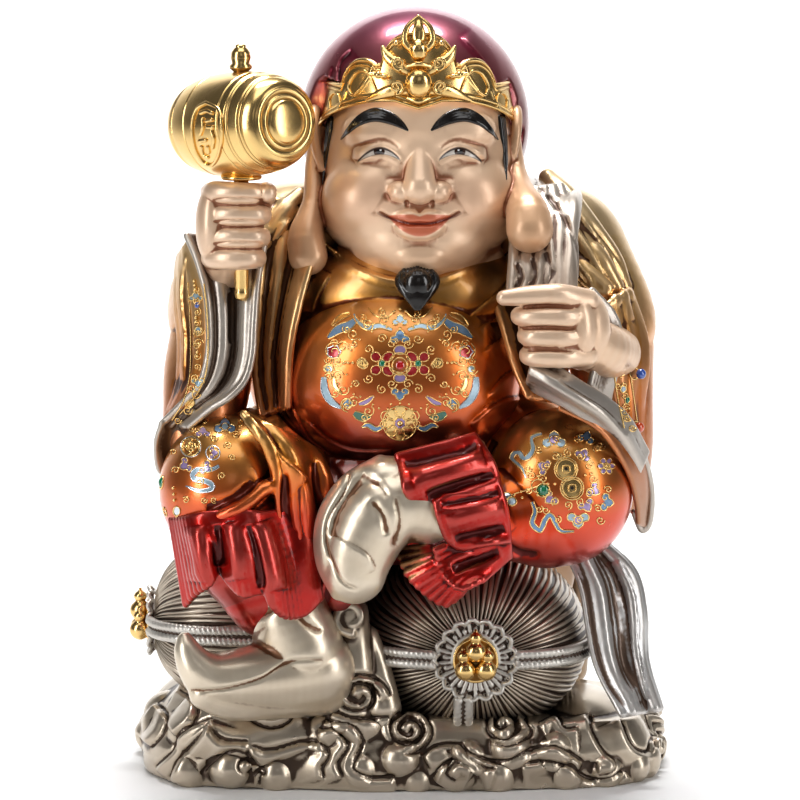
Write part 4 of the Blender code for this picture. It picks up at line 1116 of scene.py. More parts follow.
def barrel_radius(along):
    share = 2 * abs(along) / MALLET_LENGTH
    return MALLET_FACE_RADIUS + (MALLET_BELLY_RADIUS - MALLET_FACE_RADIUS) * math.sqrt(max(0.0, 1 - share**2.2))


def turned(shapes, profile, foot, way, sides):
    """Adds a solid turned from (radius, distance along way) points on the figure's grid."""
    turn = Vector(way).to_track_quat("Z", "Y")
    place = Matrix.LocRotScale(at(*foot), turn, None)
    verts = [shapes.verts.new(place @ at(radius, 0.0, along)) for radius, along in profile]
    edges = [shapes.edges.new(pair) for pair in zip(verts, verts[1:])]
    bmesh.ops.spin(shapes, geom=[*verts, *edges], angle=2 * math.pi, steps=sides, use_merge=True,
                   axis=turn @ Vector((0, 0, 1)), cent=at(*foot))
    bmesh.ops.remove_doubles(shapes, verts=shapes.verts, dist=1e-6)


def mallet_body():
    shapes = bmesh.new()
    centre, way = mallet_centre(), Vector(MALLET_WAY).normalized()
    end = MALLET_LENGTH / 2
    rings = []
    steps = 240
    for step in range(steps + 1):
        along = MALLET_LENGTH * (step / steps - 0.5)
        groove = 0.0
        for band in (-27.5, -25.6, -13.5, 13.5, 18.6, 20.4, 27.0, 28.8):
            groove += 0.55 * math.exp(-(((along - band) / 0.42) ** 2))
        rings.append((barrel_radius(along) - groove, along))
    near = [(17.0, end + 0.3), (16.4, end + 0.6), (14.8, end + 0.6), (14.4, end + 0.2), (13.6, end + 0.2), (13.2, end + 0.9),
            (12.7, end + 1.1), (11.8, end + 1.1), (11.4, end + 0.7)]
    boss = [(10.6, end + 0.7), (10.2, end + 1.9), (9.6, end + 2.3), (7.0, end + 2.9), (3.5, end + 3.3), (0.0, end + 3.4)]
    far = [(0.0, -end - 1.4), (9.0, -end - 1.2), (9.6, -end - 0.4), (14.0, -end - 0.3), (14.6, -end - 0.7), (16.6, -end - 0.5)]
    turned(shapes, [*far, *rings, *near, *boss], centre, way, 160)
    tip = Vector((*RIGHT_GRIP, FIST_FOOT - 14.5))
    top = centre.z + MALLET_BELLY_RADIUS + 13.0 - tip.z
    shaft = [(0.0, -0.6), (2.2, -0.2), (3.4, 1.2), (3.6, 4.0), (3.3, 5.2), (3.6, 6.4), (3.6, top - 13.0), (5.4, top - 11.4),
             (5.6, top - 10.2), (4.3, top - 9.0), (4.9, top - 6.2), (4.6, top - 3.6), (3.4, top - 1.8), (2.4, top - 1.2),
             (2.8, top - 0.5), (2.0, top + 0.2), (0.0, top + 0.4)]
    turned(shapes, shaft, tip, (0, 0, 1), 48)
    ring = [(0.0, 0.0), (9.4, 0.0), (10.0, 0.7), (10.0, 1.6), (9.2, 2.2), (8.6, 2.4), (8.2, 4.6), (7.2, 9.0), (0.0, 10.0)]
    turned(shapes, ring, (*RIGHT_GRIP, FIST_TOP + 0.4), (0, 0, 1), 64)
    bmesh.ops.recalc_face_normals(shapes, faces=shapes.faces)
    mesh = bpy.data.meshes.new("mallet")
    shapes.to_mesh(mesh)
    shapes.free()
    return object_of("mallet", mesh)


def cartouche_clay(seat):
    """A raised oval frame on the barrel's shown side with plain strokes in it."""
    clay = Clay()

    def on(u, v, lift=0.0):
        start, way = PICTURE_VIEW.ray(u, v)
        hit, normal, _, _ = seat.ray_cast(start, way)
        return (hit + normal * lift * STEP) / STEP

    frame_line = [(207, 103), (198, 108), (193, 121), (193, 138), (197, 153), (205, 163), (213, 164), (219, 154), (222, 139),
                  (222, 122), (218, 109), (207, 103)]
    limb(clay, *[(*on(u, v, 0.3), 1.0) for u, v in frame_line], spacing=0.5)
    for stroke in (((201, 113), (207, 111), (212, 113)), ((203, 119), (203, 127), (201, 134)), ((207, 121), (212, 120)),
                   ((208, 127), (213, 127)), ((212, 131), (214, 139), (213, 147)), ((200, 141), (206, 140)),
                   ((202, 147), (203, 154), (208, 157)), ((208, 147), (209, 152))):
        limb(clay, *[(*on(u, v, 0.2), 1.1) for u, v in stroke], spacing=0.5)
    return clay


# Clothing


def tunic_clay():
    clay = Clay()
    ball(clay, (0, -41, 199), (59, 48, 50))
    ball(clay, *CHEST)
    ball(clay, (0, -30, 150), (58, 50, 32))
    for index in range(5):
        low = 249 - 5.0 * index
        half = 48 - 4.4 * index
        stations = []
        for step in range(11):
            share = step / 5 - 1
            x, z = 5 + half * share, low + 20 * share**2
            stations.append((x, chest_front(x, z) + 1.6 + 0.5 * index, z, (3.0 - 0.32 * index) * (1 - 0.45 * abs(share))))
        limb(clay, *stations)
    return clay


def tunic_lines():
    made = Carving(PICTURE_VIEW)
    # Folds that run from the armpits to the belly, and the ones that hang from the shoulders
    made.lip((318, 262), (304, 290), (292, 318), (286, 348), width=4, depth=1.3)
    made.lip((331, 274), (318, 296), (312, 316), width=4, depth=0.9)
    made.lip((300, 268), (288, 300), (280, 340), (282, 378), width=4, depth=1.3)
    made.lip((470, 316), (500, 292), (512, 276), width=4, depth=1.0)
    made.lip((478, 330), (504, 312), (520, 300), width=4, depth=0.9)
    made.lip((484, 352), (506, 336), (524, 334), width=4, depth=0.9)
    made.lip((488, 396), (506, 376), (532, 366), width=4, depth=1.1)
    made.lip((470, 424), (500, 402), (540, 394), width=5, depth=1.2)
    made.lip((306, 420), (330, 440), (356, 450), (392, 450), width=5, depth=1.0)
    made.lip((290, 402), (310, 436), (340, 458), width=4, depth=1.0)
    return made


def robe_clay():
    clay = Clay()
    ball(clay, (4, 22, 205), (82, 46, 84))
    ball(clay, (2, 24, 140), (92, 48, 44))
    limb(clay, (-40, 50, 140, 26), (0, 58, 130, 26), (44, 50, 138, 26))
    ball(clay, (6, 42, 96), (84, 30, 74))
    for index in range(9):
        x = -72 + 19.5 * index
        sway = 3 * math.sin(2.1 * index)
        limb(clay, (x * 0.72, 52, 176, 10), (x * 0.95 + sway, 65, 130, 10), (x * 1.04 - sway, 68 + sway, 80, 9.5),
             (x * 1.08 + sway, 66 - sway, 34, 9))
    ball(clay, (-52, 2, 262), (34, 34, 31))
    limb(clay, (-56, 6, 258, 30), (-84, 8, 238, 28), (-90, -8, 226, 25), (-90, -30, 236, 17), (-90, -38, 248, 14))
    limb(clay, (-93, -8, 222, 20), (-95, -24, 200, 22), (-97, -36, 184, 20), (-102, -42, 172, 15))
    ball(clay, (78, -2, 256), (35, 33, 36))
    ball(clay, (74, -20, 236), (30, 34, 34))
    limb(clay, (82, 0, 256, 32), (102, -16, 226, 25), (102, -36, 220, 17))
    limb(clay, (104, -20, 212, 22), (106, -34, 190, 19), (108, -34, 164, 17), (110, -28, 142, 12))
    # The right sleeve's outer cloth, the folds between it and the belly, and the left sleeve's outer cloth
    drape(clay, [(179, 256, -30), (177, 300, -38), (181, 345, -44), (178, 385, -47), (167, 416, -50)],
          [(189, 242, -46), (204, 280, -56), (209, 325, -63), (207, 368, -65), (190, 400, -61)], sag=-3.5, folds=3,
          depth=0.5, thick=1.8)
    drape(clay, [(262, 196, -26), (262, 250, -40), (258, 310, -47), (256, 370, -50), (262, 414, -54)],
          [(320, 214, -30), (314, 250, -46), (300, 300, -58), (290, 350, -62), (288, 406, -62)], sag=7, folds=2,
          depth=2.8, thick=2.4)
    drape(clay, [(608, 306, -60), (612, 344, -61), (612, 380, -62), (618, 420, -60), (630, 452, -56)],
          [(630, 290, -40), (645, 335, -44), (647, 370, -47), (641, 412, -48), (642, 450, -46)], sag=-2.5, folds=3,
          depth=0.6, thick=1.8)
    drape(clay, [(560, 408, -92), (600, 430, -90), (626, 468, -80), (636, 500, -68), (638, 522, -60)],
          [(584, 402, -80), (627, 426, -72), (643, 452, -62), (650, 488, -52), (645, 526, -46)], sag=-2, folds=1,
          depth=0.8, thick=1.6)
    drape(clay, [(494, 296, -44), (504, 330, -64), (514, 364, -78), (528, 396, -86)],
          [(576, 290, -40), (574, 330, -56), (566, 364, -72), (560, 400, -84)], sag=3, folds=2, depth=1.8, thick=2.2)
    # Broad folds from the neck over the left shoulder to the elbow
    for spots in (((548, 178, -6, 5), (566, 200, -20, 7), (590, 232, -28, 7), (612, 262, -30, 6), (628, 296, -28, 4)),
                  ((556, 210, -24, 5), (574, 236, -34, 6), (596, 262, -40, 6), (614, 288, -42, 4)),
                  ((560, 246, -36, 4), (582, 270, -44, 5), (604, 290, -48, 4)),
                  ((300, 196, -20, 5), (280, 216, -26, 6), (262, 240, -34, 5))):
        limb(clay, *[(*picture_spot(u, v, y), r) for u, v, y, r in spots])
    return clay


def robe_lines():
    made = Carving(PICTURE_VIEW)
    for path in (((186, 256), (182, 296), (186, 340), (184, 380)),
                 ((300, 208), (282, 232), (266, 250)),
                 ((556, 186), (570, 216), (588, 244), (604, 276), (618, 300)),
                 ((548, 204), (562, 240), (584, 270), (604, 300)),
                 ((560, 250), (580, 278), (600, 290), (622, 300)),
                 ((578, 210), (604, 246), (622, 286), (634, 320)),
                 ((600, 238), (620, 266), (634, 300))):
        made.lip(*path, width=6, depth=1.3)
    for path in (((566, 200), (584, 236), (604, 266)), ((590, 226), (612, 256), (630, 292))):
        made.ridge(*path, width=3.0, depth=-0.9)
    return made


def linings_clay():
    """The wide sleeves' silver insides, with their rolled rims."""
    clay = Clay()
    outer = [(187, 236, -46), (198, 262, -54), (206, 292, -60), (209, 325, -64), (208, 356, -66), (200, 384, -65),
             (184, 402, -61), (162, 424, -55)]
    inner = [(264, 246, -50), (257, 285, -60), (254, 325, -66), (252, 356, -69), (245, 380, -71), (230, 397, -72),
             (212, 408, -69), (190, 426, -63)]
    drape(clay, outer, inner, sag=8, folds=2, depth=3.4, phase=0.1, thick=2.0)
    edge_roll(clay, outer, 1.5)
    edge_roll(clay, inner, 1.5)
    drape(clay, [(162, 424, -56), (157, 444, -54), (160, 468, -50)], [(194, 412, -62), (190, 438, -58), (184, 470, -52)],
          sag=5, thick=1.6)
    edge_roll(clay, [(162, 422, -57), (156, 444, -55), (159, 470, -50), (172, 474, -50)], 1.4)
    cuff = [(592, 290, -66), (612, 312, -64), (620, 334, -62), (618, 362, -62), (608, 404, -62)]
    drape(clay, [(578, 300, -76), (596, 314, -74), (600, 336, -74), (596, 360, -74), (590, 384, -76)], cuff, sag=3, folds=1,
          depth=0.8, thick=1.8)
    edge_roll(clay, cuff, 1.5)
    top = [(536, 356, -84), (556, 368, -88), (580, 384, -89), (606, 400, -85), (628, 420, -76), (646, 452, -62)]
    low = [(528, 386, -82), (548, 396, -89), (574, 410, -92), (600, 428, -88), (618, 450, -79), (634, 480, -66)]
    drape(clay, top, low, sag=-5, folds=1.5, depth=1.2, thick=2.1)
    edge_roll(clay, top, 1.8)
    edge_roll(clay, low, 1.8)
    edge_roll(clay, [(578, 402, -88), (625, 424, -78), (641, 450, -67), (651, 486, -56), (650, 520, -50), (642, 530, -48),
                     (634, 512, -52)], 1.8)
    return clay


def linings_lines():
    made = Carving(PICTURE_VIEW)
    made.ridge((230, 292), (231, 318), (231, 344), width=1.2, depth=-1.2)
    made.ridge((600, 326), (602, 350), (597, 372), width=1.2, depth=-0.9)
    made.ridge((560, 380), (584, 394), (608, 410), (628, 434), width=1.2, depth=-0.9)
    return made


def sack_clay():
    clay = Clay()
    ball(clay, (8, 54, 232), (68, 34, 76))
    ball(clay, (0, 50, 200), (76, 36, 52))
    for index in range(6):
        x = 54.5 + 5.4 * index
        limb(clay, (x - 1, -77, 244, 3.0), (x + 1, -62, 264, 3.2), (x + 3, -38, 283, 3.8 + 0.2 * index),
             (x + 4, -8, 292 - index, 5.0), (x - 1, 22, 288 - index, 6.4), (x - 16, 46, 272, 9))
    drape(clay, [(516, 292, -74), (520, 262, -66), (520, 226, -50), (522, 190, -30)],
          [(574, 290, -74), (576, 258, -62), (572, 222, -44), (562, 186, -24)], sag=-2, folds=5, depth=1.0, thick=2.0)
    for index in range(11):
        angle = math.pi * (index / 10)
        x = 62 * math.cos(angle)
        limb(clay, (8 + x * 0.35, 66, 298, 5), (8 + x * 0.8, 78, 270, 6), (8 + x, 80, 232, 6), (4 + x * 0.9, 78, 196, 5))
    return clay


def sack_lines():
    made = Carving(PICTURE_VIEW)
    for path in (((516, 262), (522, 276), (516, 288)), ((532, 258), (536, 274), (530, 288)),
                 ((546, 252), (552, 272), (546, 288)), ((540, 186), (562, 214), (578, 250), (580, 282))):
        made.ridge(*path, width=1.2, depth=-1.0)
    return made


def trousers_clay():
    clay = Clay()
    limb(clay, (-28, 12, 150, 40), (-56, -28, 152, 36), (-82, -58, 150, 33))
    ball(clay, (-84, -60, 148), (34, 37, 36))
    limb(clay, (-84, -58, 138, 31), (-76, -62, 118, 27), (-70, -64, 104, 22))
    limb(clay, (34, 12, 150, 40), (58, -28, 152, 37), (76, -58, 150, 35))
    ball(clay, (78, -60, 149), (36.5, 38, 39))
    limb(clay, (72, -66, 140, 30), (52, -76, 138, 22), (44, -80, 137, 20))
    limb(clay, (-50, -40, 176, 12), (-42, -62, 150, 13), (-38, -68, 122, 12), (-30, -66, 96, 9))
    ball(clay, (0, -30, 140), (60, 50, 34))
    # Cloth between the knee and the crossed boot, and the gathered cuff of the left knee
    drape(clay, [(244, 414, -84), (264, 440, -92), (276, 480, -94), (282, 530, -92), (290, 596, -82)],
          [(312, 452, -72), (326, 472, -78), (334, 510, -80), (330, 550, -78), (322, 600, -72)], sag=-3, folds=1.5,
          depth=3.4, phase=0.1, thick=2.6)
    limb(clay, *[(*picture_spot(u, v, y), r) for u, v, y, r in
                 ((478, 446, -86, 4), (484, 470, -94, 5.5), (489, 500, -96, 5.5), (499, 530, -94, 5), (514, 552, -86, 4))])
    limb(clay, *[(*picture_spot(u, v, y), r) for u, v, y, r in
                 ((196, 528, -84, 4), (222, 516, -96, 5.5), (246, 504, -98, 5.5), (268, 486, -94, 4))])
    return clay


def trousers_lines():
    made = Carving(PICTURE_VIEW)
    made.lip((250, 416), (266, 436), (282, 456), (298, 470), (308, 480), width=8, depth=2.0)
    made.lip((274, 412), (290, 430), (312, 446), (332, 456), width=6, depth=1.4)
    made.ridge((206, 508), (232, 500), (254, 482), width=2.6, depth=-1.6)
    made.ridge((216, 528), (246, 516), (272, 496), width=2.6, depth=-1.4)
    made.ridge((262, 440), (270, 462), (268, 486), width=2.6, depth=-1.0)
    made.lip((166, 536), (180, 543), (204, 538), (229, 528), (261, 533), (298, 531), width=6, depth=-2.0)
    for path in (((286, 474), (284, 504), (288, 534), (292, 566)), ((300, 484), (300, 514), (306, 544), (308, 584)),
                 ((314, 462), (318, 492), (323, 522), (320, 562), (318, 598))):
        made.ridge(*path, width=1.8, depth=-1.8)
    made.ridge((495, 440), (489, 450), (486, 462), width=1.8, depth=-1.8)
    made.ridge((498, 530), (506, 544), (520, 553), (540, 556), width=2.0, depth=-1.8)
    made.ridge((490, 462), (488, 490), (494, 514), (503, 532), width=1.8, depth=-1.6)
    made.ridge((500, 462), (497, 490), (502, 512), (512, 530), width=2.4, depth=0.6)
    return made


def flare(clay, throat, mouth, throat_radii, mouth_radii, across, waves, ripple, wall, phase=0.0):
    """Adds a flared frill of cloth from throat to mouth, whose hem ripples. across is one axis of its rings."""
    way = (Vector(mouth) - Vector(throat)).normalized()
    side = Vector(across).normalized()
    rise = way.cross(side).normalized()
    side = rise.cross(way).normalized()
    around, along = 144, 14

    def ring(share, inward):
        made = bmesh.ops.create_circle(clay.shapes, segments=around, radius=1.0)["verts"]
        centre = Vector(throat).lerp(Vector(mouth), share)
        for index, vert in enumerate(made):
            angle = 2 * math.pi * index / around
            swell = share**1.6
            wide = throat_radii[0] + (mouth_radii[0] - throat_radii[0]) * swell - inward
            tall = throat_radii[1] + (mouth_radii[1] - throat_radii[1]) * swell - inward
            wave = ripple * share**1.3 * math.sin(waves * angle + phase)
            wave += 0.35 * ripple * share**1.3 * math.sin((2 * waves + 1) * angle + 1.3 + phase)
            reach = 0.55 * ripple * share**2 * math.cos(waves * angle + phase + 0.8)
            spot = side * (wide + wave) * math.cos(angle) + rise * (tall + wave) * math.sin(angle)
            vert.co = at(*(centre + spot + way * reach))
        return ring_edges(made)

    outside = [ring(step / along, 0.0) for step in range(along + 1)]
    inside = [ring(step / along, wall) for step in range(along + 1)]
    bridge_rings(clay.shapes, outside)
    bridge_rings(clay.shapes, inside)
    bmesh.ops.bridge_loops(clay.shapes, edges=[*outside[0], *inside[0]])
    bmesh.ops.bridge_loops(clay.shapes, edges=[*outside[-1], *inside[-1]])


def right_frill_clay():
    clay = Clay()
    limb(clay, (-74, -60, 118, 24), (-70, -64, 104, 22), (-66, -64, 94, 19))
    drape(clay, [(172, 520, -78), (190, 518, -92), (212, 514, -98), (238, 512, -100), (264, 514, -97), (302, 508, -86)],
          [(186, 604, -82), (197, 592, -92), (209, 584, -98), (219, 568, -92), (228, 580, -100), (242, 594, -106),
           (256, 592, -100), (266, 592, -98), (273, 606, -102), (286, 616, -102), (304, 613, -94), (320, 598, -82)],
          ripples=2.5, ripple=4.2, sag=-4, phase=0.2, thick=2.2)
    return clay


def left_frill_clay():
    clay = Clay()
    limb(clay, (50, -76, 138, 19), (34, -84, 136, 17), (24, -87, 134, 15))
    drape(clay, [(474, 436, -86), (492, 464, -96), (501, 496, -99)],
          [(398, 456, -96), (403, 474, -104), (407, 492, -107), (418, 506, -107), (429, 497, -106), (438, 494, -105)],
          ripples=1.5, ripple=3.2, sag=-4, phase=0.1, thick=2.2)
    drape(clay, [(496, 480, -98), (505, 510, -101), (508, 540, -97)],
          [(434, 494, -105), (440, 518, -108), (448, 538, -108), (462, 547, -106), (480, 544, -104)],
          ripples=1.0, ripple=2.8, sag=-3, phase=0.55, thick=2.2)
    drape(clay, [(505, 524, -98), (508, 542, -96), (509, 556, -91)],
          [(436, 550, -104), (443, 572, -106), (460, 588, -106), (482, 580, -100)], ripples=0.8, ripple=2.4,
          sag=2, thick=2.2)
    drape(clay, [(452, 546, -98), (470, 556, -99), (484, 562, -95)],
          [(399, 550, -90), (408, 574, -96), (428, 594, -99), (446, 604, -99), (460, 594, -98)], ripples=1.2, ripple=2.4,
          sag=-3, phase=0.3, thick=2.4)
    return clay


def frill_lines():
    made = Carving(PICTURE_VIEW)
    for path in (((231, 522), (236, 548), (238, 580)), ((262, 522), (272, 552), (280, 590)), ((196, 526), (201, 556), (199, 582)),
                 ((484, 456), (452, 466), (412, 478)), ((504, 508), (476, 514), (446, 524))):
        made.ridge(*path, width=4.5, depth=1.6)
    for path in (((217, 524), (219, 546), (220, 566)), ((248, 524), (256, 552), (262, 588)),
                 ((478, 446), (446, 454), (404, 464)), ((494, 474), (460, 484), (426, 496)), ((500, 492), (476, 498), (440, 504)),
                 ((506, 528), (480, 534), (454, 540)), ((500, 552), (476, 560), (452, 568))):
        made.ridge(*path, width=2.4, depth=-2.4)
    return made


# Boots


def boots_clay():
    clay = Clay()
    limb(clay, (-54, -64, 106, 19), (-54, -68, 88, 20), (-49, -68, 70, 22))
    limb(clay, (-42, -66, 60, 21), (-58, -73, 58, 18.5), (-76, -80, 57, 16.0), (-90, -86, 58, 13.0), (-98, -89, 64, 10.0),
         (-103, -89, 72, 7.0), (-104.5, -88, 78, 4.4))
    limb(clay, (-38, -64, 52, 16), (-62, -74, 49, 13), (-82, -84, 48, 10.5), (-95, -90, 52, 8))
    limb(clay, (46, -78, 138, 19), (24, -86, 141, 18.5), (2, -92, 146, 19), (-12, -93.3, 138, 19.5), (-20, -95.3, 123, 17.5),
         (-22, -97, 113, 15.5))
    ball(clay, (-6, -90, 154), (18, 15, 15))
    limb(clay, (-10, -90, 164, 6), (-26, -93, 153, 8), (-35, -95, 138, 9.5), (-35, -96, 122, 10), (-29, -97, 108, 9),
         flat=0.6, facing=(-1, -0.2, 0.2))
    return clay


def boots_lines():
    made = Carving(PICTURE_VIEW)
    made.ridge((190, 690), (206, 691), (229, 688), (261, 678), (288, 662), (324, 660), width=0.9, depth=-0.9, taper=0.05)
    made.ridge((224, 628), (246, 620), (276, 608), width=2.2, depth=-1.2)
    made.ridge((236, 642), (252, 636), (266, 626), width=2.0, depth=-0.6)
    made.ridge((294, 600), (302, 620), (322, 632), width=2.2, depth=-0.9)
    made.ridge((246, 606), (262, 600), (284, 598), width=2.0, depth=0.7)
    made.ridge((350, 470), (344, 492), (328, 519), (327, 544), (341, 580), (358, 590), width=0.9, depth=-0.9, taper=0.05)
    made.lip((330, 536), (348, 544), (367, 556), (375, 570), width=7, depth=0.9)
    made.ridge((371, 500), (383, 516), (388, 536), width=2.2, depth=-1.4)
    made.ridge((395, 496), (400, 522), (394, 548), width=2.2, depth=-1.2)
    made.ridge((362, 474), (379, 485), (388, 498), width=2.2, depth=-0.8)
    return made


# Sash, base and bales


def sash_clay():
    clay = Clay()
    limb(clay, (90, -30, 112, 8), (104, -34, 88, 9), (110, -38, 62, 9), (116, -50, 40, 7), flat=0.8)
    drape(clay, [(566, 548, -42), (582, 586, -48), (589, 627, -52), (598, 667, -56), (622, 714, -68)],
          [(606, 544, -30), (634, 572, -34), (644, 612, -38), (646, 660, -42), (660, 708, -56)], folds=1.5, depth=4.6,
          phase=0.32, thick=2.2)
    return clay


def sash_lines():
    made = Carving(PICTURE_VIEW)
    made.ridge((571, 560), (586, 592), (594, 640), (606, 680), (624, 706), width=1.2, depth=-1.2)
    made.ridge((594, 556), (610, 592), (616, 640), (630, 690), width=2.6, depth=-1.6)
    made.lip((618, 560), (634, 596), (638, 650), (648, 700), width=6, depth=1.6)
    return made


SCROLLS = (
    (-29, 33, 13, 1, (-41, 22), (-52, 26), (-66, 12)),
    (-37, 10, 9, -1, (-24, 7), (-13, 15)),
    (-10, 32, 10, 1, (2, 27), (13, 20)),
    (0, 17, 9, -1, (12, 20), (22, 11)),
    (13, 8, 8, 1, (24, 6), (35, 15)),
    (25, 22, 9, -1, (37, 27), (50, 14), (63, 22)),
    (45, 8, 7, 1, (54, 6), (64, 9)),
    (71, 12, 9, -1, (82, 22), (94, 13)),
    (97, 25, 10, 1, (110, 14), (122, 8)),
    (127, 13, 9, -1, (140, 23), (152, 13)),
    (158, 25, 10, 1, (170, 13), (182, 9)),
    (188, 12, 9, -1, (200, 24), (212, 15)),
    (217, 24, 10, 1, (229, 12), (241, 9)),
    (247, 13, 9, -1, (259, 24), (271, 13)),
    (276, 27, 11, 1, (288, 15), (299, 8)),
)


def base_clay():
    clay = Clay()
    loops = []
    for height in (0.4, 2.0, 5.0, 10.0, 17.0, 24.0, 30.0, 35.0):
        ends = height in (0.4, 35.0)
        made = bmesh.ops.create_circle(clay.shapes, segments=144, radius=1.0, cap_ends=ends)["verts"]
        for index, vert in enumerate(made):
            degrees = 360.0 * index / 144
            rise = 1 - 0.16 * math.sin(math.radians(degrees))
            vert.co = at(*base_rim(degrees, height * (rise if height > 20 else 1.0), -1.6))
        loops.append(ring_edges(made))
    bridge_rings(clay.shapes, loops)
    ball(clay, (-66, -44, 24), (50, 30, 23))
    ball(clay, (-84, 0, 24), (30, 46, 20))
    ball(clay, (90, -10, 20), (26, 44, 20))
    ball(clay, (0, 44, 24), (96, 26, 18))
    limb(clay, (-25, -60, 36, 13), (-22, -63, 56, 10), (-23, -62, 74, 9), (-25, -62, 86, 10))
    curl(clay, (-24, -70, 86), (1, 0, 0), (0, 0.1, 1), 8.0, hand=-1, thick=0.34)
    limb(clay, (-8, -64, 40, 9), (-11, -60, 58, 7), (-16, -58, 74, 6))
    for degrees, height, size, *_ in SCROLLS:
        eye = base_rim(degrees, height, 0.0)
        ball(clay, eye - eye.normalized() * size * 0.85, (size * 1.25, size * 1.25, size * 1.1))
        for turn, drop in ((-9, 5), (9, 3)):
            puff = base_rim(degrees + turn, max(6.0, height - drop), 0.0)
            ball(clay, puff - puff.normalized() * size * 0.85, size * 1.02)
    return clay


def base_lines():
    """The front's clouds, drawn as the camera sees them, and scrolls all around."""
    made = Carving(PICTURE_VIEW)
    for path in (((275, 709), (268, 714), (262, 708), (266, 700), (278, 698), (290, 706), (288, 720), (270, 726),
                  (252, 718), (246, 704), (257, 691), (280, 687), (302, 696), (316, 708), (306, 719)),
                 ((210, 725), (221, 739), (249, 743)),
                 ((251, 746), (271, 751), (302, 743), (319, 744), (328, 755), (321, 767), (323, 779)),
                 ((319, 729), (337, 732), (347, 746), (337, 763), (342, 777)),
                 ((325, 720), (350, 725), (361, 741), (352, 763), (354, 772), (371, 779), (395, 778)),
                 ((244, 773), (240, 766), (246, 760), (258, 764), (263, 772), (251, 753), (232, 748), (213, 760), (199, 772)),
                 ((171, 779), (187, 753), (207, 732), (211, 722)), ((156, 768), (175, 750), (182, 732), (213, 719)),
                 ((359, 700), (352, 694), (356, 686), (368, 688), (372, 700), (362, 709), (346, 706), (338, 694),
                  (346, 680), (364, 676), (382, 684), (390, 696)),
                 ((333, 712), (350, 719), (366, 720), (390, 719)), ((280, 686), (294, 680), (311, 681), (311, 691)),
                 ((408, 733), (402, 728), (406, 722), (417, 724), (420, 734), (410, 742), (396, 738), (392, 726),
                  (402, 714), (420, 714), (430, 726), (429, 738), (418, 750), (404, 752)),
                 ((422, 756), (438, 746), (459, 746), (469, 760), (484, 768), (496, 772)),
                 ((457, 779), (450, 774), (456, 768), (467, 770)), ((433, 779), (443, 766), (457, 761), (473, 768)),
                 ((502, 728), (497, 723), (502, 717), (512, 720), (514, 730), (504, 738), (490, 732), (489, 720),
                  (500, 710), (516, 712), (526, 724), (529, 734), (510, 744), (494, 742)),
                 ((459, 743), (469, 753), (490, 762), (510, 762), (531, 751), (552, 747), (567, 753), (583, 763)),
                 ((521, 765), (546, 762), (565, 767), (589, 780), (612, 780), (624, 770)),
                 ((588, 715), (591, 732), (603, 753), (614, 763), (612, 772), (598, 774)),
                 ((619, 719), (631, 746), (648, 753), (653, 737)), ((539, 724), (555, 717), (564, 729), (577, 729)),
                 ((156, 704), (166, 716), (162, 732), (150, 746)), ((178, 690), (196, 704), (192, 722), (176, 736))):
        made.lip(*path, width=7.0, depth=3.0, taper=0.04)
        made.ridge(*path, width=1.3, depth=-2.2, taper=0.04)
    around = Carving(Around(), unit=1.0)
    for degrees, height, size, hand, *tail in SCROLLS:
        if abs((degrees + 180) % 360 - 180) < 62:
            continue
        eye = (degrees * Around.rim, height)
        spiral = []
        for step in range(20):
            share = step / 19
            angle = hand * 2 * math.pi * 1.6 * share - math.pi / 2
            reach = size * 1.1 * (1 - 0.85 * share)
            spiral.append((eye[0] + reach * math.cos(angle), eye[1] + reach * math.sin(angle)))
        around.ridge(*spiral, width=1.2, depth=-2.0, taper=0.04)
        for drop in (-0.6, 0.3, 1.1):
            run = [(eye[0] + size * 0.6, height - drop * size)]
            run += [(turn * Around.rim, max(3.0, level - 0.6 * drop * size)) for turn, level in tail]
            around.lip(*run, width=5.0, depth=2.0, taper=0.05)
            around.ridge(*run, width=1.2, depth=-1.4, taper=0.05)
    return made, around


def bale_surface(sizes, share, angle, out=0.0):
    way = Vector(sizes["axis"])
    side, rise = Vector((0, 0, 1)).cross(way), Vector((0, 0, 1))
    reach = max(0.0, 1 - abs(share) ** 3.0) ** (1 / 2.4)
    wide, tall = sizes["radii"][0] + out, sizes["radii"][1] + out
    spot = side * wide * reach * math.cos(angle) + rise * tall * reach * math.sin(angle)
    return Vector(sizes["centre"]) + way * (sizes["half_length"] + out) * share + spot


def bale_straw(name, sizes, straws, shown=(-0.35, 0.9995)):
    """The straw of a bale, combed from its cap over its side: a skin with one ridge for each straw."""
    shapes = bmesh.new()
    per_straw, rows = 6, 96
    columns = straws * per_straw
    loops = []
    for row in range(rows + 1):
        t = row / rows
        share = shown[0] + (shown[1] - shown[0]) * (1 - (1 - t) ** 2.4)
        made = bmesh.ops.create_circle(shapes, segments=columns, radius=1.0, cap_ends=row == rows)["verts"]
        for index, vert in enumerate(made):
            turn = index / per_straw
            number = int(turn) % straws
            unlike = math.sin(number * 12.9898) * 43758.5453 % 1.0
            other = math.sin(number * 78.233 + 1.7) * 12543.123 % 1.0
            angle = 2 * math.pi * (turn + 0.25 * math.sin(share * 5 + other * 6) * 0.5) / straws
            bulge = abs(math.sin(math.pi * turn)) ** 0.8
            out = (0.9 + 0.7 * unlike) * bulge - 1.2 + 0.5 * math.sin(share * 23 + other * 40) * 0.25
            vert.co = at(*bale_surface(sizes, share, angle, out))
        loops.append(ring_edges(made))
    bridge_rings(shapes, loops)
    bmesh.ops.recalc_face_normals(shapes, faces=shapes.faces)
    mesh = bpy.data.meshes.new(name)
    shapes.to_mesh(mesh)
    shapes.free()
    return object_of(name, mesh)


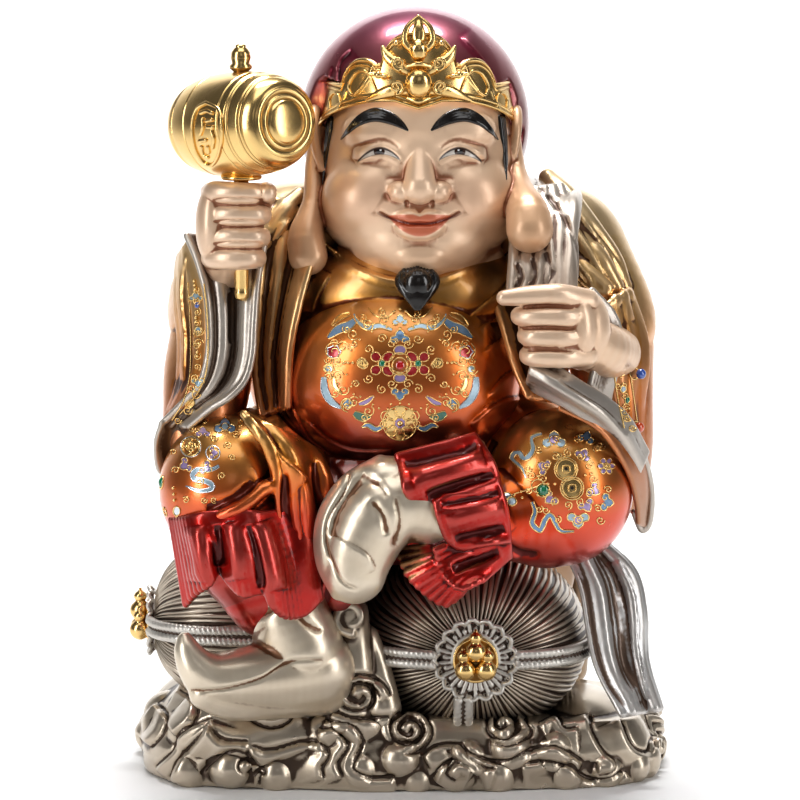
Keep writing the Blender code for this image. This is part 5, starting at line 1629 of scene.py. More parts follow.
def bale_cap_clay(sizes, frills):
    """The ruffled disc in the middle of a bale's end, with a niche for the gourds."""
    clay = Clay()
    way = Vector(sizes["axis"])
    side, rise = Vector((0, 0, 1)).cross(way), Vector((0, 0, 1))
    end = Vector(sizes["centre"]) + way * (sizes["half_length"] - 1.0)
    cap = sizes["cap"]
    ball(clay, end, [cap * 0.96 if abs(part) < 0.5 else 2.6 for part in way])
    rim = []
    for step in range(frills * 10 + 1):
        angle = 2 * math.pi * step / (frills * 10)
        swell = abs(math.sin(frills * angle / 2))
        out = side * math.cos(angle) + rise * math.sin(angle)
        rim.append((*(end + out * cap * (0.93 + 0.13 * swell) + way * (1.2 + 1.8 * swell)), 1.25))
    limb(clay, *rim, spacing=0.6)
    for index in range(frills * 2):
        angle = math.pi * (index + 0.5) / frills
        out = side * math.cos(angle) + rise * math.sin(angle)
        shown = 0.95 if index % 2 else 0.8
        limb(clay, (*(end + out * cap * 0.56 + way * 2.2), 0.7), (*(end + out * cap * shown + way * 2.0), 1.1))
    arch = []
    for step in range(9):
        angle = math.pi * (step / 8)
        arch.append((*(end + side * math.cos(angle) * cap * 0.60 + rise * (math.sin(angle) * cap * 0.72 - 1.0) + way * 2.8), 1.1))
    limb(clay, *arch)
    return clay


def rope_clay(paths, twist=5.0, radius=2.3):
    """Ropes of two strands each, laid along paths."""
    clay = Clay()
    for path in paths:
        line = [Vector(s[:3]) for s in smooth_stations([(*p, 1.0) for p in path], 0.8)]
        for hand in (0.0, math.pi):
            stations = []
            gone = 0.0
            for before, spot, after in zip([line[0], *line], line, [*line[1:], line[-1]]):
                way = (after - before).normalized()
                across = way.cross(Vector((0.3, -0.5, 0.8))).normalized()
                up = way.cross(across)
                gone += (spot - before).length
                angle = hand + gone * 2 * math.pi / twist
                stations.append((*(spot + (across * math.cos(angle) + up * math.sin(angle)) * radius * 0.5), radius * 0.62))
            limb(clay, *stations, spacing=0.6)
    return clay


def front_ropes():
    x, y, z = FRONT_BALE["centre"]
    front = y - FRONT_BALE["half_length"]
    wide = FRONT_BALE["radii"][0]
    paths = []
    for hand in (-1, 1):
        for lift in (-2.6, 2.6):
            paths.append([(x + hand * 20, front - 2, z + lift), (x + hand * 36, front + 3.4, z + lift),
                          (x + hand * 49, front + 15, z + lift), (x + hand * (wide - 0.5), front + 34, z + lift),
                          (x + hand * (wide + 0.5), y, z + lift)])
    for lift in (-2.6, 2.6):
        paths.append([(x - 6 + lift, front - 2, z - 19), (x - 6 + lift, front + 3.2, z - 30),
                      (x - 6 + lift, front + 12, z - 39), (x - 6 + lift, front + 26, z - 44)])
    return paths


def side_ropes():
    x, y, z = SIDE_BALE["centre"]
    left = x - SIDE_BALE["half_length"]
    deep = SIDE_BALE["radii"][0]
    paths = []
    for hand in (-1, 1):
        for lift in (-2.6, 2.6):
            paths.append([(left - 1, y + hand * 17, z + lift), (left + 4, y + hand * 29, z + lift),
                          (left + 16, y + hand * 40, z + lift), (left + 32, y + hand * (deep - 0.8), z + lift),
                          (x, y + hand * (deep + 0.5), z + lift)])
    return paths


def gourd_cluster(name, sizes):
    """Three small gourds on a round plate."""
    shapes = bmesh.new()
    way = Vector(sizes["axis"])
    side, rise = Vector((0, 0, 1)).cross(way), Vector((0, 0, 1))
    face = Vector(sizes["centre"]) + way * (sizes["half_length"] + 3.0)
    turned(shapes, [(0.0, -1.4), (11.2, -1.4), (11.4, -0.6), (10.6, 0.0), (10.0, -0.3), (0.0, -0.3)], face, way, 56)
    size = 5.3
    body = [(0.0, -1.0), (0.35, -0.96), (0.72, -0.72), (0.96, -0.3), (1.0, 0.08), (0.86, 0.48), (0.6, 0.74), (0.46, 0.86),
            (0.5, 1.0), (0.62, 1.2), (0.62, 1.42), (0.48, 1.64), (0.26, 1.8), (0.16, 1.92), (0.13, 2.1), (0.0, 2.14)]
    for across, up in ((0.0, 0.95), (-0.95, -0.75), (0.95, -0.75)):
        spot = face + (side * across + rise * up) * size + way * 0.66 * size
        tilt = (rise + side * across * 0.12).normalized()
        turned(shapes, [(radius * size, along * size) for radius, along in body], spot, tilt, 40)
    bmesh.ops.recalc_face_normals(shapes, faces=shapes.faces)
    mesh = bpy.data.meshes.new(name)
    shapes.to_mesh(mesh)
    shapes.free()
    return object_of(name, mesh)


# Filigree


class Filigree:
    """Wires, enamel patches, beads and stones laid on a skin, at places of a view."""

    def __init__(self, seat, view):
        self.seat = seat
        self.view = view
        self.wires = {}
        self.patches = {}

    def on(self, u, v, lift=0.0):
        """The place and normal of the skin that is seen at u, v."""
        start, way = self.view.ray(u, v)
        hit, normal, _, _ = self.seat.ray_cast(start, way)
        if hit is None:
            return None
        return hit + normal * lift * STEP, normal

    def wire(self, *path, metal="gold", radius=0.42, lift=0.15):
        line = [tuple(s)[:2] for s in smooth_stations([(*p, 0.0, 2.0) for p in path], 0.8)]
        spots = [found[0] for found in (self.on(u, v, lift) for u, v in line) if found]
        if len(spots) > 1:
            self.wires.setdefault(metal, []).append((spots, radius * STEP))

    def sheet(self, colour):
        return self.patches.setdefault(colour, bmesh.new())

    def petal(self, u, v, wide, tall, colour, turn=0.0, lobes=0, dent=0.25, edge="gold", lift=0.25):
        """A flat enamel patch with a wire around it. turn is in degrees, and lobes notch its outline."""
        shapes = self.sheet(colour)
        sides = 28
        rings = []
        c, s = math.cos(math.radians(turn)), math.sin(math.radians(turn))

        def outline(angle, share):
            reach = share * (1 - dent * (0.5 - 0.5 * math.cos(lobes * angle)) if lobes else share)
            a, b = math.cos(angle) * wide * reach, math.sin(angle) * tall * reach
            return u + a * c - b * s, v + a * s + b * c

        for share in (0.45, 1.0):
            made = bmesh.ops.create_circle(shapes, segments=sides, radius=1.0, cap_ends=share < 0.5)["verts"]
            for index, vert in enumerate(made):
                found = self.on(*outline(2 * math.pi * index / sides, share), lift if share < 0.5 else lift * 0.5)
                if found:
                    vert.co = found[0]
                else:
                    vert.co = self.on(u, v, lift)[0]
            rings.append(ring_edges(made))
        bridge_rings(shapes, rings)
        if edge:
            self.wire(*[outline(2 * math.pi * step / 12, 1.0) for step in range(13)], metal=edge, radius=0.36)

    def band(self, *path, width, colour, edge="gold", lift=0.2):
        """An enamel ribbon along a path, with a wire on each side. Widths are in the view's units."""
        line = [tuple(s)[:2] for s in smooth_stations([(*p, 0.0, 2.0) for p in path], 1.0)]
        count = len(line)
        sides = ([], [])
        for index, (u, v) in enumerate(line):
            u0, v0 = line[max(0, index - 1)]
            u1, v1 = line[min(count - 1, index + 1)]
            length = math.hypot(u1 - u0, v1 - v0) or 1.0
            share = index / (count - 1)
            half = width / 2 * max(0.12, math.sin(math.pi * min(0.98, 0.12 + share * 0.86))) ** 0.6
            for hand, side in zip((-1, 1), sides):
                side.append((u - hand * (v1 - v0) / length * half, v + hand * (u1 - u0) / length * half))
        shapes = self.sheet(colour)
        made = bmesh.ops.create_grid(shapes, x_segments=count - 1, y_segments=1, size=0.5)["verts"]
        for vert in made:
            index = round((vert.co.x + 0.5) * (count - 1))
            found = self.on(*sides[0 if vert.co.y < 0 else 1][index], lift)
            vert.co = found[0] if found else (self.on(*line[index], lift) or self.on(*line[0], lift))[0]
        for side in sides:
            self.wire(*side[:: max(1, len(side) // 12)], metal=edge, radius=0.36)

    def bead(self, u, v, radius, colour="gold", rise=0.4):
        found = self.on(u, v, rise * radius)
        if found:
            place = Matrix.LocRotScale(found[0], None, Vector((radius, radius, radius)) * STEP)
            bmesh.ops.create_icosphere(self.sheet(colour), subdivisions=2, radius=1.0, matrix=place)

    def beads(self, *spots, radius=0.75, colour="gold"):
        for u, v in spots:
            self.bead(u, v, radius, colour)

    def ring(self, u, v, reach, metal="gold", radius=0.42):
        self.wire(*[(u + reach * math.cos(math.pi * step / 6), v + reach * math.sin(math.pi * step / 6)) for step in range(13)],
                  metal=metal, radius=radius)

    def swirl(self, u, v, reach, turns=1.4, start=0.0, hand=1, metal="gold", radius=0.4):
        spots = []
        for step in range(15):
            share = step / 14
            angle = math.radians(start) + hand * 2 * math.pi * turns * share
            spots.append((u + reach * (1 - 0.85 * share) * math.cos(angle), v + reach * (1 - 0.85 * share) * math.sin(angle)))
        self.wire(*spots, metal=metal, radius=radius)

    def coin(self, u, v, reach):
        """A round coin with a square hole."""
        self.petal(u, v, reach, reach, "gold", edge=None)
        self.ring(u, v, reach, radius=0.4)
        half = reach * 0.34
        self.wire((u - half, v - half), (u + half, v - half), (u + half, v + half), (u - half, v + half), (u - half, v - half),
                  radius=0.3, lift=0.4)
        # A dark sheet in the square hole: painted shade for its depth.
        self.petal(u, v, half * 0.8, half * 0.8, "dark", edge=None, lift=0.35)

    def rosette(self, u, v, reach, petals, colour, middle, heart="gold"):
        for index in range(petals):
            angle = 360.0 * index / petals
            a = math.radians(angle)
            self.petal(u + reach * 0.66 * math.cos(a), v + reach * 0.66 * math.sin(a), reach * 0.36, reach * 0.30, colour, angle)
        self.petal(u, v, reach * 0.36, reach * 0.36, middle, lift=0.45)
        self.bead(u, v, reach * 0.09, heart)

    def cloudlet(self, u, v, reach, colour, turn=0.0, metal="gold"):
        """A ruyi head: two curls that meet under a point."""
        c, s = math.cos(math.radians(turn)), math.sin(math.radians(turn))

        def spot(a, b):
            return u + (a * c - b * s) * reach, v + (a * s + b * c) * reach

        self.petal(*spot(-0.55, 0.15), reach * 0.5, reach * 0.42, colour, turn, edge=None)
        self.petal(*spot(0.55, 0.15), reach * 0.5, reach * 0.42, colour, turn, edge=None)
        self.petal(*spot(0.0, -0.35), reach * 0.48, reach * 0.5, colour, turn, edge=None)
        for hand in (-1, 1):
            self.wire(spot(0, -0.95), spot(hand * 0.45, -0.6), spot(hand * 0.55, -0.25), spot(hand * 1.0, -0.1),
                      spot(hand * 1.05, 0.35), spot(hand * 0.65, 0.6), spot(hand * 0.25, 0.4), spot(hand * 0.35, 0.1),
                      spot(hand * 0.6, 0.15), metal=metal, radius=0.38)

    def stone(self, u, v, reach, colour):
        """A cabochon in a wire bezel, where no solid stone sits."""
        found = self.on(u, v, 0.1)
        if not found:
            return
        spot, normal = found
        turn = normal.to_track_quat("Z", "Y")
        size = reach * STEP
        place = Matrix.LocRotScale(spot, turn, Vector((size, size, size * 0.6)))
        bmesh.ops.create_icosphere(self.sheet(colour), subdivisions=3, radius=1.0, matrix=place)
        self.bezel(spot, normal, reach)

    def bezel(self, spot, normal, reach):
        across = normal.orthogonal().normalized()
        up = normal.cross(across)
        around = [spot + (across * math.cos(math.pi * step / 12) + up * math.sin(math.pi * step / 12)) * reach * 1.12 * STEP
                  for step in range(25)]
        self.wires.setdefault("gold", []).append((around, 0.42 * STEP))

    def build(self, name, paints, slots):
        """The collected wires and patches as one piece for each colour."""
        made = []
        for metal, lines in self.wires.items():
            curve = bpy.data.curves.new(f"{name}_{metal}_wire", "CURVE")
            curve.dimensions = "3D"
            curve.bevel_depth = 1.0
            curve.bevel_resolution = 1
            curve.use_fill_caps = True
            for spots, radius in lines:
                spline = curve.splines.new("POLY")
                spline.points.add(len(spots) - 1)
                for point, spot in zip(spline.points, spots):
                    point.co = (*spot, 1.0)
                    point.radius = radius
            wires = bpy.data.objects.new(curve.name, curve)
            bpy.context.scene.collection.objects.link(wires)
            graph = bpy.context.evaluated_depsgraph_get()
            mesh = bpy.data.meshes.new_from_object(wires.evaluated_get(graph))
            bpy.data.objects.remove(wires)
            made.append(finish(object_of(curve.name, mesh), slots[metal], paints[metal]))
        for colour, shapes in self.patches.items():
            bmesh.ops.recalc_face_normals(shapes, faces=shapes.faces)
            mesh = bpy.data.meshes.new(f"{name}_{colour}")
            shapes.to_mesh(mesh)
            shapes.free()
            made.append(finish(object_of(mesh.name, mesh), slots[colour], paints[colour]))
        return made


def belly_filigree(work):
    """The medallion on the belly: a red stone between ruyi heads, in a wreath of clouds."""
    for m in (1, -1):
        def s(*pairs):
            return [(400 + m * (u - 400), v) for u, v in pairs]

        def one(u, v):
            return 400 + m * (u - 400), v

        work.petal(*one(412, 357), 6, 4.4, "red_enamel", m * 35)
        work.petal(*one(412, 371), 6, 4.4, "red_enamel", -m * 35)
        work.petal(*one(424, 357), 5, 4.6, "red_enamel", -m * 25)
        work.petal(*one(424, 370), 5, 4.6, "red_enamel", m * 25)
        work.stone(*one(418, 363.5), 1.5, "green_gem")
        work.coin(*one(438, 363), 4.8)
        work.beads(one(447, 363), one(451.5, 363), one(456, 363), radius=0.9)
        work.swirl(*one(408, 344), 5, metal="gold", hand=m)
        work.swirl(*one(408, 384), 5, metal="gold", hand=-m)
        work.band(*s((408, 330), (420, 326), (432, 328), (442, 322), (446, 314)), width=5, colour="pale_blue")
        work.band(*s((444, 320), (452, 326), (462, 330), (472, 338)), width=9, colour="blue_enamel")
        work.band(*s((450, 314), (460, 318), (468, 326)), width=5, colour="gold")
        work.swirl(*one(466, 352), 10, start=-60, hand=m, metal="gold")
        work.petal(*one(466, 352), 7.5, 7.0, "red_enamel", edge="silver", lobes=5)
        work.swirl(*one(472, 369), 6, start=20, hand=m)
        work.petal(*one(471, 369), 4, 3.6, "pale_blue")
        work.band(*s((476, 377), (475, 390), (469, 401), (459, 408)), width=7, colour="pale_blue", edge="silver")
        work.band(*s((466, 376), (465, 386), (458, 394)), width=4, colour="gold")
        work.swirl(*one(452, 404), 8, start=90, hand=-m)
        work.petal(*one(452, 404), 5.4, 5.4, "blue_enamel", lobes=4)
        work.band(*s((446, 413), (438, 417), (429, 416)), width=8, colour="green_enamel")
        work.band(*s((441, 404), (434, 402), (426, 396)), width=5, colour="lilac")
        work.band(*s((417, 426), (424, 429), (432, 425), (438, 427)), width=5, colour="blue_enamel")
        work.wire(*s((406, 312), (414, 318), (424, 316), (432, 308)), metal="gold")
        work.beads(one(458, 342), one(461, 362), one(462, 384), one(446, 394), one(421, 408), radius=0.75)
        work.swirl(*one(446, 344), 4, start=180, hand=m)
        work.swirl(*one(444, 384), 4, start=180, hand=-m)
    # Gold sprigs between the clouds of the wreath
    for m in (1, -1):
        for index in range(10):
            angle = math.radians(-76 + 17 * index)
            u, v = 400 + m * 63 * math.cos(angle), 368 + 50 * math.sin(angle)
            turn = math.degrees(angle) if m > 0 else 180 - math.degrees(angle)
            work.swirl(u, v, 6.0, start=turn + 180, hand=m if index % 2 else -m)
            work.swirl(u + m * 9 * math.cos(angle), v + 7.5 * math.sin(angle), 4.2, start=turn, hand=-m if index % 2 else m)
            work.bead(u - m * 9 * math.cos(angle), v - 8 * math.sin(angle), 0.7)
        for index in range(5):
            angle = math.radians(-60 + 30 * index)
            work.swirl(400 + m * 36 * math.cos(angle), 364 + 29 * math.sin(angle), 5.0, start=60 * index, hand=m)
    work.cloudlet(400, 338, 9, "blue_enamel")
    work.cloudlet(400, 393, 8, "blue_enamel", 180)
    work.petal(400, 350, 6.2, 4.6, "lilac")
    work.petal(400, 378, 6.2, 4.6, "lilac")
    work.cloudlet(400, 321, 7, "pale_blue")
    work.beads((400, 329), (400, 310), (394, 312), (406, 312), radius=0.9)
    work.rosette(400, 423, 17, 8, "gold", "lilac")
    work.ring(400, 423, 17)
    work.ring(400, 364, 11)
    work.beads((400, 403), (391, 404), (409, 404), radius=0.75)


def knee_coins(work, u, v, reach):
    work.coin(u, v, reach * 0.5)
    for index in range(4):
        a = math.radians(45 + 90 * index)
        work.ring(u + reach * 0.5 * math.cos(a), v + reach * 0.5 * math.sin(a), reach * 0.5, radius=0.38)
    work.ring(u, v, reach, radius=0.45)
    work.ring(u, v, reach * 1.12, metal="silver", radius=0.3)


def left_knee_filigree(work):
    """Coins between cloud heads, with a beaded tassel."""
    for u, v in ((566, 469), (572, 488)):
        work.coin(u, v, 9.5)
        work.ring(u, v, 11.5, radius=0.45)
    for index in range(12):
        angle = math.radians(30 * index)
        work.swirl(568 + 25 * math.cos(angle), 479 + 26 * math.sin(angle), 4.6, start=30 * index, hand=-1 if index % 2 else 1)
        work.swirl(568 + 41 * math.cos(angle + 0.25), 479 + 42 * math.sin(angle + 0.25), 4.0, start=30 * index + 180)
    work.cloudlet(554, 441, 11, "pale_blue")
    work.petal(554, 440, 4.5, 4, "lilac", lift=0.45)
    work.band((542, 434), (532, 438), (533, 450), (525, 459), (518, 452), (512, 458), (522, 468), (526, 478), width=5,
              colour="pale_blue")
    work.cloudlet(586, 438, 8, "blue_enamel", 20)
    for u, v, turn in ((583, 455, 30), (544, 467, -60), (551, 498, -130), (593, 490, 120), (586, 505, 150)):
        work.cloudlet(u, v, 7.5, "lilac", turn)
    work.beads((527, 491), (521, 492), (522, 498), (514, 495), (548, 484), (555, 484), (585, 475), (591, 474), (538, 476),
               (538, 495), radius=0.85)
    work.petal(507, 496, 4.4, 3.4, "silver")
    for low, wide in ((493, 497), (496, 503), (501, 507)):
        work.wire((503, 496), ((503 + low) / 2, wide - 2), (low - 4, wide), radius=0.3)
    work.cloudlet(578, 519, 10, "pale_blue", 180)
    work.petal(578, 520, 4, 4, "lilac", lift=0.45)
    work.band((532, 502), (535, 512), (532, 523), (540, 530), (545, 520), (551, 515), (560, 530), (574, 531), width=5,
              colour="blue_enamel")
    work.rosette(606, 466, 8.5, 6, "lilac", "gold")
    work.cloudlet(606, 502, 8, "blue_enamel", 100)
    work.swirl(600, 446, 5)
    work.swirl(560, 456, 4)
    work.swirl(532, 476, 5, start=90)
    work.wire((538, 486), (530, 489), (521, 492), (511, 495))
    work.ring(538, 486, 6.5)
    work.swirl(600, 520, 4.5)
    work.swirl(546, 510, 4)


def right_knee_filigree(work):
    """The same pattern, seen from its edge."""
    for u, v, reach in ((180, 432, 4), (204, 420, 4), (240, 424, 4), (228, 446, 4), (176, 470, 4), (200, 482, 4), (222, 476, 4),
                        (186, 500, 3.6), (204, 500, 3.6), (232, 458, 3.6), (174, 452, 3.4), (214, 500, 3.4)):
        work.swirl(u, v, reach, start=u * 7)
    work.cloudlet(225, 427, 10, "blue_enamel")
    work.petal(225, 427, 4, 3.6, "pale_blue", lift=0.45)
    knee_coins(work, 191, 447, 9)
    for u, v, turn in ((203, 433, 0), (186, 465, -120), (206, 468, 120)):
        work.cloudlet(u, v, 7, "lilac", turn)
    work.ring(213, 453, 7, metal="silver")
    work.cloudlet(213, 453, 6, "lilac", 90)
    work.band((219, 466), (210, 470), (197, 470), (193, 478), (208, 482), (213, 488), (200, 491), (186, 486), width=4.5,
              colour="pale_blue", edge="silver")
    work.beads((174, 488), (174.5, 494), (175, 500), radius=0.9)
    work.petal(177, 511, 3.4, 4.6, "silver")
    for low in (174, 178, 182):
        work.wire((177, 515), (low, 524), (low, 534), radius=0.3)
    work.swirl(236, 434, 4)
    work.swirl(214, 438, 4)
    work.swirl(192, 428, 4.5)


def sleeve_filigree(work):
    """Jewelled bands down the outer edges of both sleeves."""
    work.beads((195, 281), (195.5, 285), (196, 289), (196.5, 318), (197, 321.5), (198, 352), (198, 356), radius=0.95)
    for v in range(290, 400, 11):
        u = 197.5 if v < 370 else 197.5 - (v - 370) * 0.25
        work.swirl(u, v, 3.8, start=v * 9, hand=-1 if v % 2 else 1)
    for v in range(352, 426, 11):
        work.swirl(620 + (v - 352) * 0.1, v, 3.8, start=v * 7, hand=-1 if v % 2 else 1)
    work.cloudlet(196, 297, 6, "pale_blue")
    work.swirl(199, 330, 6)
    work.petal(199, 330, 3.6, 3.6, "pale_blue")
    work.swirl(199, 343, 5, hand=-1)
    work.cloudlet(198, 382, 6, "pale_blue", 180)
    work.swirl(196, 394, 5)
    work.petal(190, 404, 5, 3.4, "gold", -40)
    work.wire((188, 282), (190, 310), (191, 345), (190, 376), (184, 400), (172, 420), metal="gold")
    work.wire((204, 284), (207, 312), (208, 345), (206, 372), (198, 392), (180, 414), metal="gold")
    work.swirl(188, 410, 5)
    work.swirl(178, 420, 4)
    work.beads((620, 348), (619.5, 353), (619.5, 358), (628, 408), (629, 420), radius=0.95)
    work.cloudlet(620, 364, 5, "pale_blue")
    work.stone(623, 389, 1.5, "pale_gem")
    work.stone(627, 400, 1.6, "green_gem")
    work.swirl(618, 386, 4)
    work.swirl(624, 412, 4.5)
    work.swirl(632, 428, 4)
    work.wire((612, 344), (614, 372), (618, 400), (624, 428), metal="gold")
    work.wire((626, 342), (629, 366), (633, 394), (637, 424), metal="gold")


ORNAMENT_SLOTS = {
    "gold": "polished_gold",
    "silver": "polished_gold",
    "dark": "painted_resin",
    "red_enamel": "painted_resin",
    "blue_enamel": "painted_resin",
    "pale_blue": "painted_resin",
    "lilac": "painted_resin",
    "green_enamel": "painted_resin",
    "green_gem": "green_stone",
    "pale_gem": "pale_blue_stone",
}

# Each solid stone: its colour, its slot and its radius on the grid
STONES = {
    "belly_stone": ("red", "red_stone", 3.3),
    "left_knee_stone": ("green", "green_stone", 2.9),
    "left_tassel_stone": ("pale", "pale_blue_stone", 2.0),
    "right_knee_stone": ("green", "green_stone", 2.9),
    "right_tassel_stone": ("pale", "pale_blue_stone", 2.0),
    "right_sleeve_upper_stone": ("blue", "blue_stone", 2.6),
    "right_sleeve_lower_stone": ("orange", "orange_stone", 2.6),
    "left_sleeve_upper_stone": ("blue", "blue_stone", 2.6),
    "left_sleeve_lower_stone": ("orange", "orange_stone", 2.6),
}
GEM_COLOURS = {
    "red": (0.42, 0.006, 0.008),
    "green": (0.0, 0.16, 0.07),
    "pale": (0.42, 0.55, 0.66),
    "blue": (0.03, 0.08, 0.34),
    "orange": (0.58, 0.07, 0.012),
}


def cabochon(name, normal, radius):
    """A round stone where the solid one sits."""
    low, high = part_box(name)
    spot = (low + high) / 2 - SHIFT
    shapes = bmesh.new()
    size = radius * STEP
    turn = normal.to_track_quat("Z", "Y")
    place = Matrix.LocRotScale(spot, turn, Vector((size, size, size * 0.85)))
    bmesh.ops.create_icosphere(shapes, subdivisions=4, radius=1.0, matrix=place)
    mesh = bpy.data.meshes.new(name)
    shapes.to_mesh(mesh)
    shapes.free()
    return object_of(name, mesh), spot


# Finishes


def body_paint(name, stops, patina_and_shade, **others):
    """Lacquer whose colour runs with height on the figure's grid, a little unevenly."""
    return lacquer(name, lambda paint: paint.bands(paint.z + (paint.noise(18.0, 2.0) - 0.5) * 22.0, *stops), patina_and_shade, **others)


def ornament_paints(gold, silver):
    return {
        "gold": gold,
        "silver": silver,
        # Dark enamel for the coins' square holes, as painted shade.
        "dark": enamel("painted_hole_shade", (0.03, 0.02, 0.015)),
        "red_enamel": enamel("red_enamel", (0.42, 0.015, 0.02)),
        "blue_enamel": enamel("blue_enamel", (0.16, 0.28, 0.44)),
        "pale_blue": enamel("pale_blue_enamel", (0.34, 0.46, 0.54)),
        "lilac": enamel("lilac_enamel", (0.36, 0.26, 0.48)),
        "green_enamel": enamel("green_enamel", (0.05, 0.16, 0.11)),
        "green_gem": gem("green_glass", GEM_COLOURS["green"]),
        "pale_gem": gem("pale_glass", GEM_COLOURS["pale"]),
    }


# What the operators make, kept by name so that later ones can lay their work on earlier ones

MADE = {}


def piece(name, clay, grain, smoothing, paint, triangles, *carvings, soften=1, slot="painted_resin", nodes=("statue",)):
    made = fused(name, clay, grain, smoothing)
    if carvings:
        carve(made, *carvings, soften=soften)
    finish(made, slot, paint, *nodes, triangles=triangles)
    MADE[name] = made
    return made


class STATUE_OT_head(bpy.types.Operator):
    """Models the head with its painted smile, the fists, and the brows and beard"""

    bl_idname = "statue.head"
    bl_label = "Head and Hands"

    def execute(self, context):
        carving, colours = context.scene.statue_carving, context.scene.statue_paint
        skull = fused("skull", skull_clay(), carving.cloth_grain, 60)
        head = fused("head", head_clay(), carving.fine_grain, 12, under=skull)
        carve(head, face_lines(), soften=1)
        hair = fused("hair", hair_clay(BVHTree.FromObject(head, context.evaluated_depsgraph_get())), 0.00045, 1)
        carve(hair, hair_lines(), soften=0)
        finish(head, "painted_resin", skin_paint(colours), "statue", triangles=130000)
        MADE["head"] = head
        black = Paint("black_hair")
        strand = black.noise(420.0, 3.0, stretch=(1.0, 1.0, 0.25))
        black.set(Base_Color=black.mix(strand, (0.004, 0.003, 0.003), (0.022, 0.016, 0.013)))
        black.set(Roughness=strand * 0.2 + 0.14, Coat_Weight=0.6)
        finish(hair, "painted_resin", black.material, "statue", triangles=60000)
        pearl = lacquer("pearl_skin", tuple(colours.skin), (0.24, 0.08, 0.03), metallic=0.38, roughness=0.34, coat=0.25,
                        edge=0.12)
        piece("hands", hands_clay(), carving.fine_grain, 8, pearl, 80000, hand_lines())
        return {"FINISHED"}


class STATUE_OT_hood(bpy.types.Operator):
    """Models the maroon head cloth"""

    bl_idname = "statue.hood"
    bl_label = "Head Cloth"

    def execute(self, context):
        carving, colours = context.scene.statue_carving, context.scene.statue_paint
        deep = tuple(colours.hood)
        # Darker towards the foot of the hood, and a pink painted sheen towards its top.
        stops = ((300, tuple(p * 0.5 for p in deep)), (335, deep), (358, (0.24, 0.022, 0.050)), (376, (0.32, 0.060, 0.13)))
        paint = body_paint("maroon_lacquer", stops, (0.04, 0.004, 0.006), metallic=0.7, roughness=0.3, coat=0.6, edge=0.06)
        hood = fused("hood", hood_clay(), carving.cloth_grain, 16)
        press_under_crown(hood)
        carve(hood, hood_lines(), soften=3)
        finish(hood, "painted_resin", paint, "statue", triangles=50000)
        MADE["hood"] = hood
        return {"FINISHED"}


class STATUE_OT_crown(bpy.types.Operator):
    """Models the scalloped crown with its jewel and leaves"""

    bl_idname = "statue.crown"
    bl_label = "Crown"

    def execute(self, context):
        gold = MADE.setdefault("gold", gilding("gilding", tuple(context.scene.statue_paint.gold)))
        band = crown_band()
        carve(band, crown_lines(), soften=0)
        finish(band, "polished_gold", gold, "crown", triangles=90000)
        jewel = fused("crown_jewel", crown_jewel_clay(), 0.0004, 1)
        finish(jewel, "polished_gold", gold, "crown", triangles=70000)
        return {"FINISHED"}


class STATUE_OT_mallet(bpy.types.Operator):
    """Turns the mallet on its straight handle"""

    bl_idname = "statue.mallet"
    bl_label = "Mallet"

    def execute(self, context):
        gold = MADE.setdefault("gold", gilding("gilding", tuple(context.scene.statue_paint.gold)))
        mallet = mallet_body()
        marks = fused("mallet_marks", cartouche_clay(BVHTree.FromObject(mallet, context.evaluated_depsgraph_get())), 0.0003, 1)
        finish(mallet, "polished_gold", gold, "mallet", triangles=110000)
        finish(marks, "polished_gold", gold, "mallet", triangles=20000)
        return {"FINISHED"}


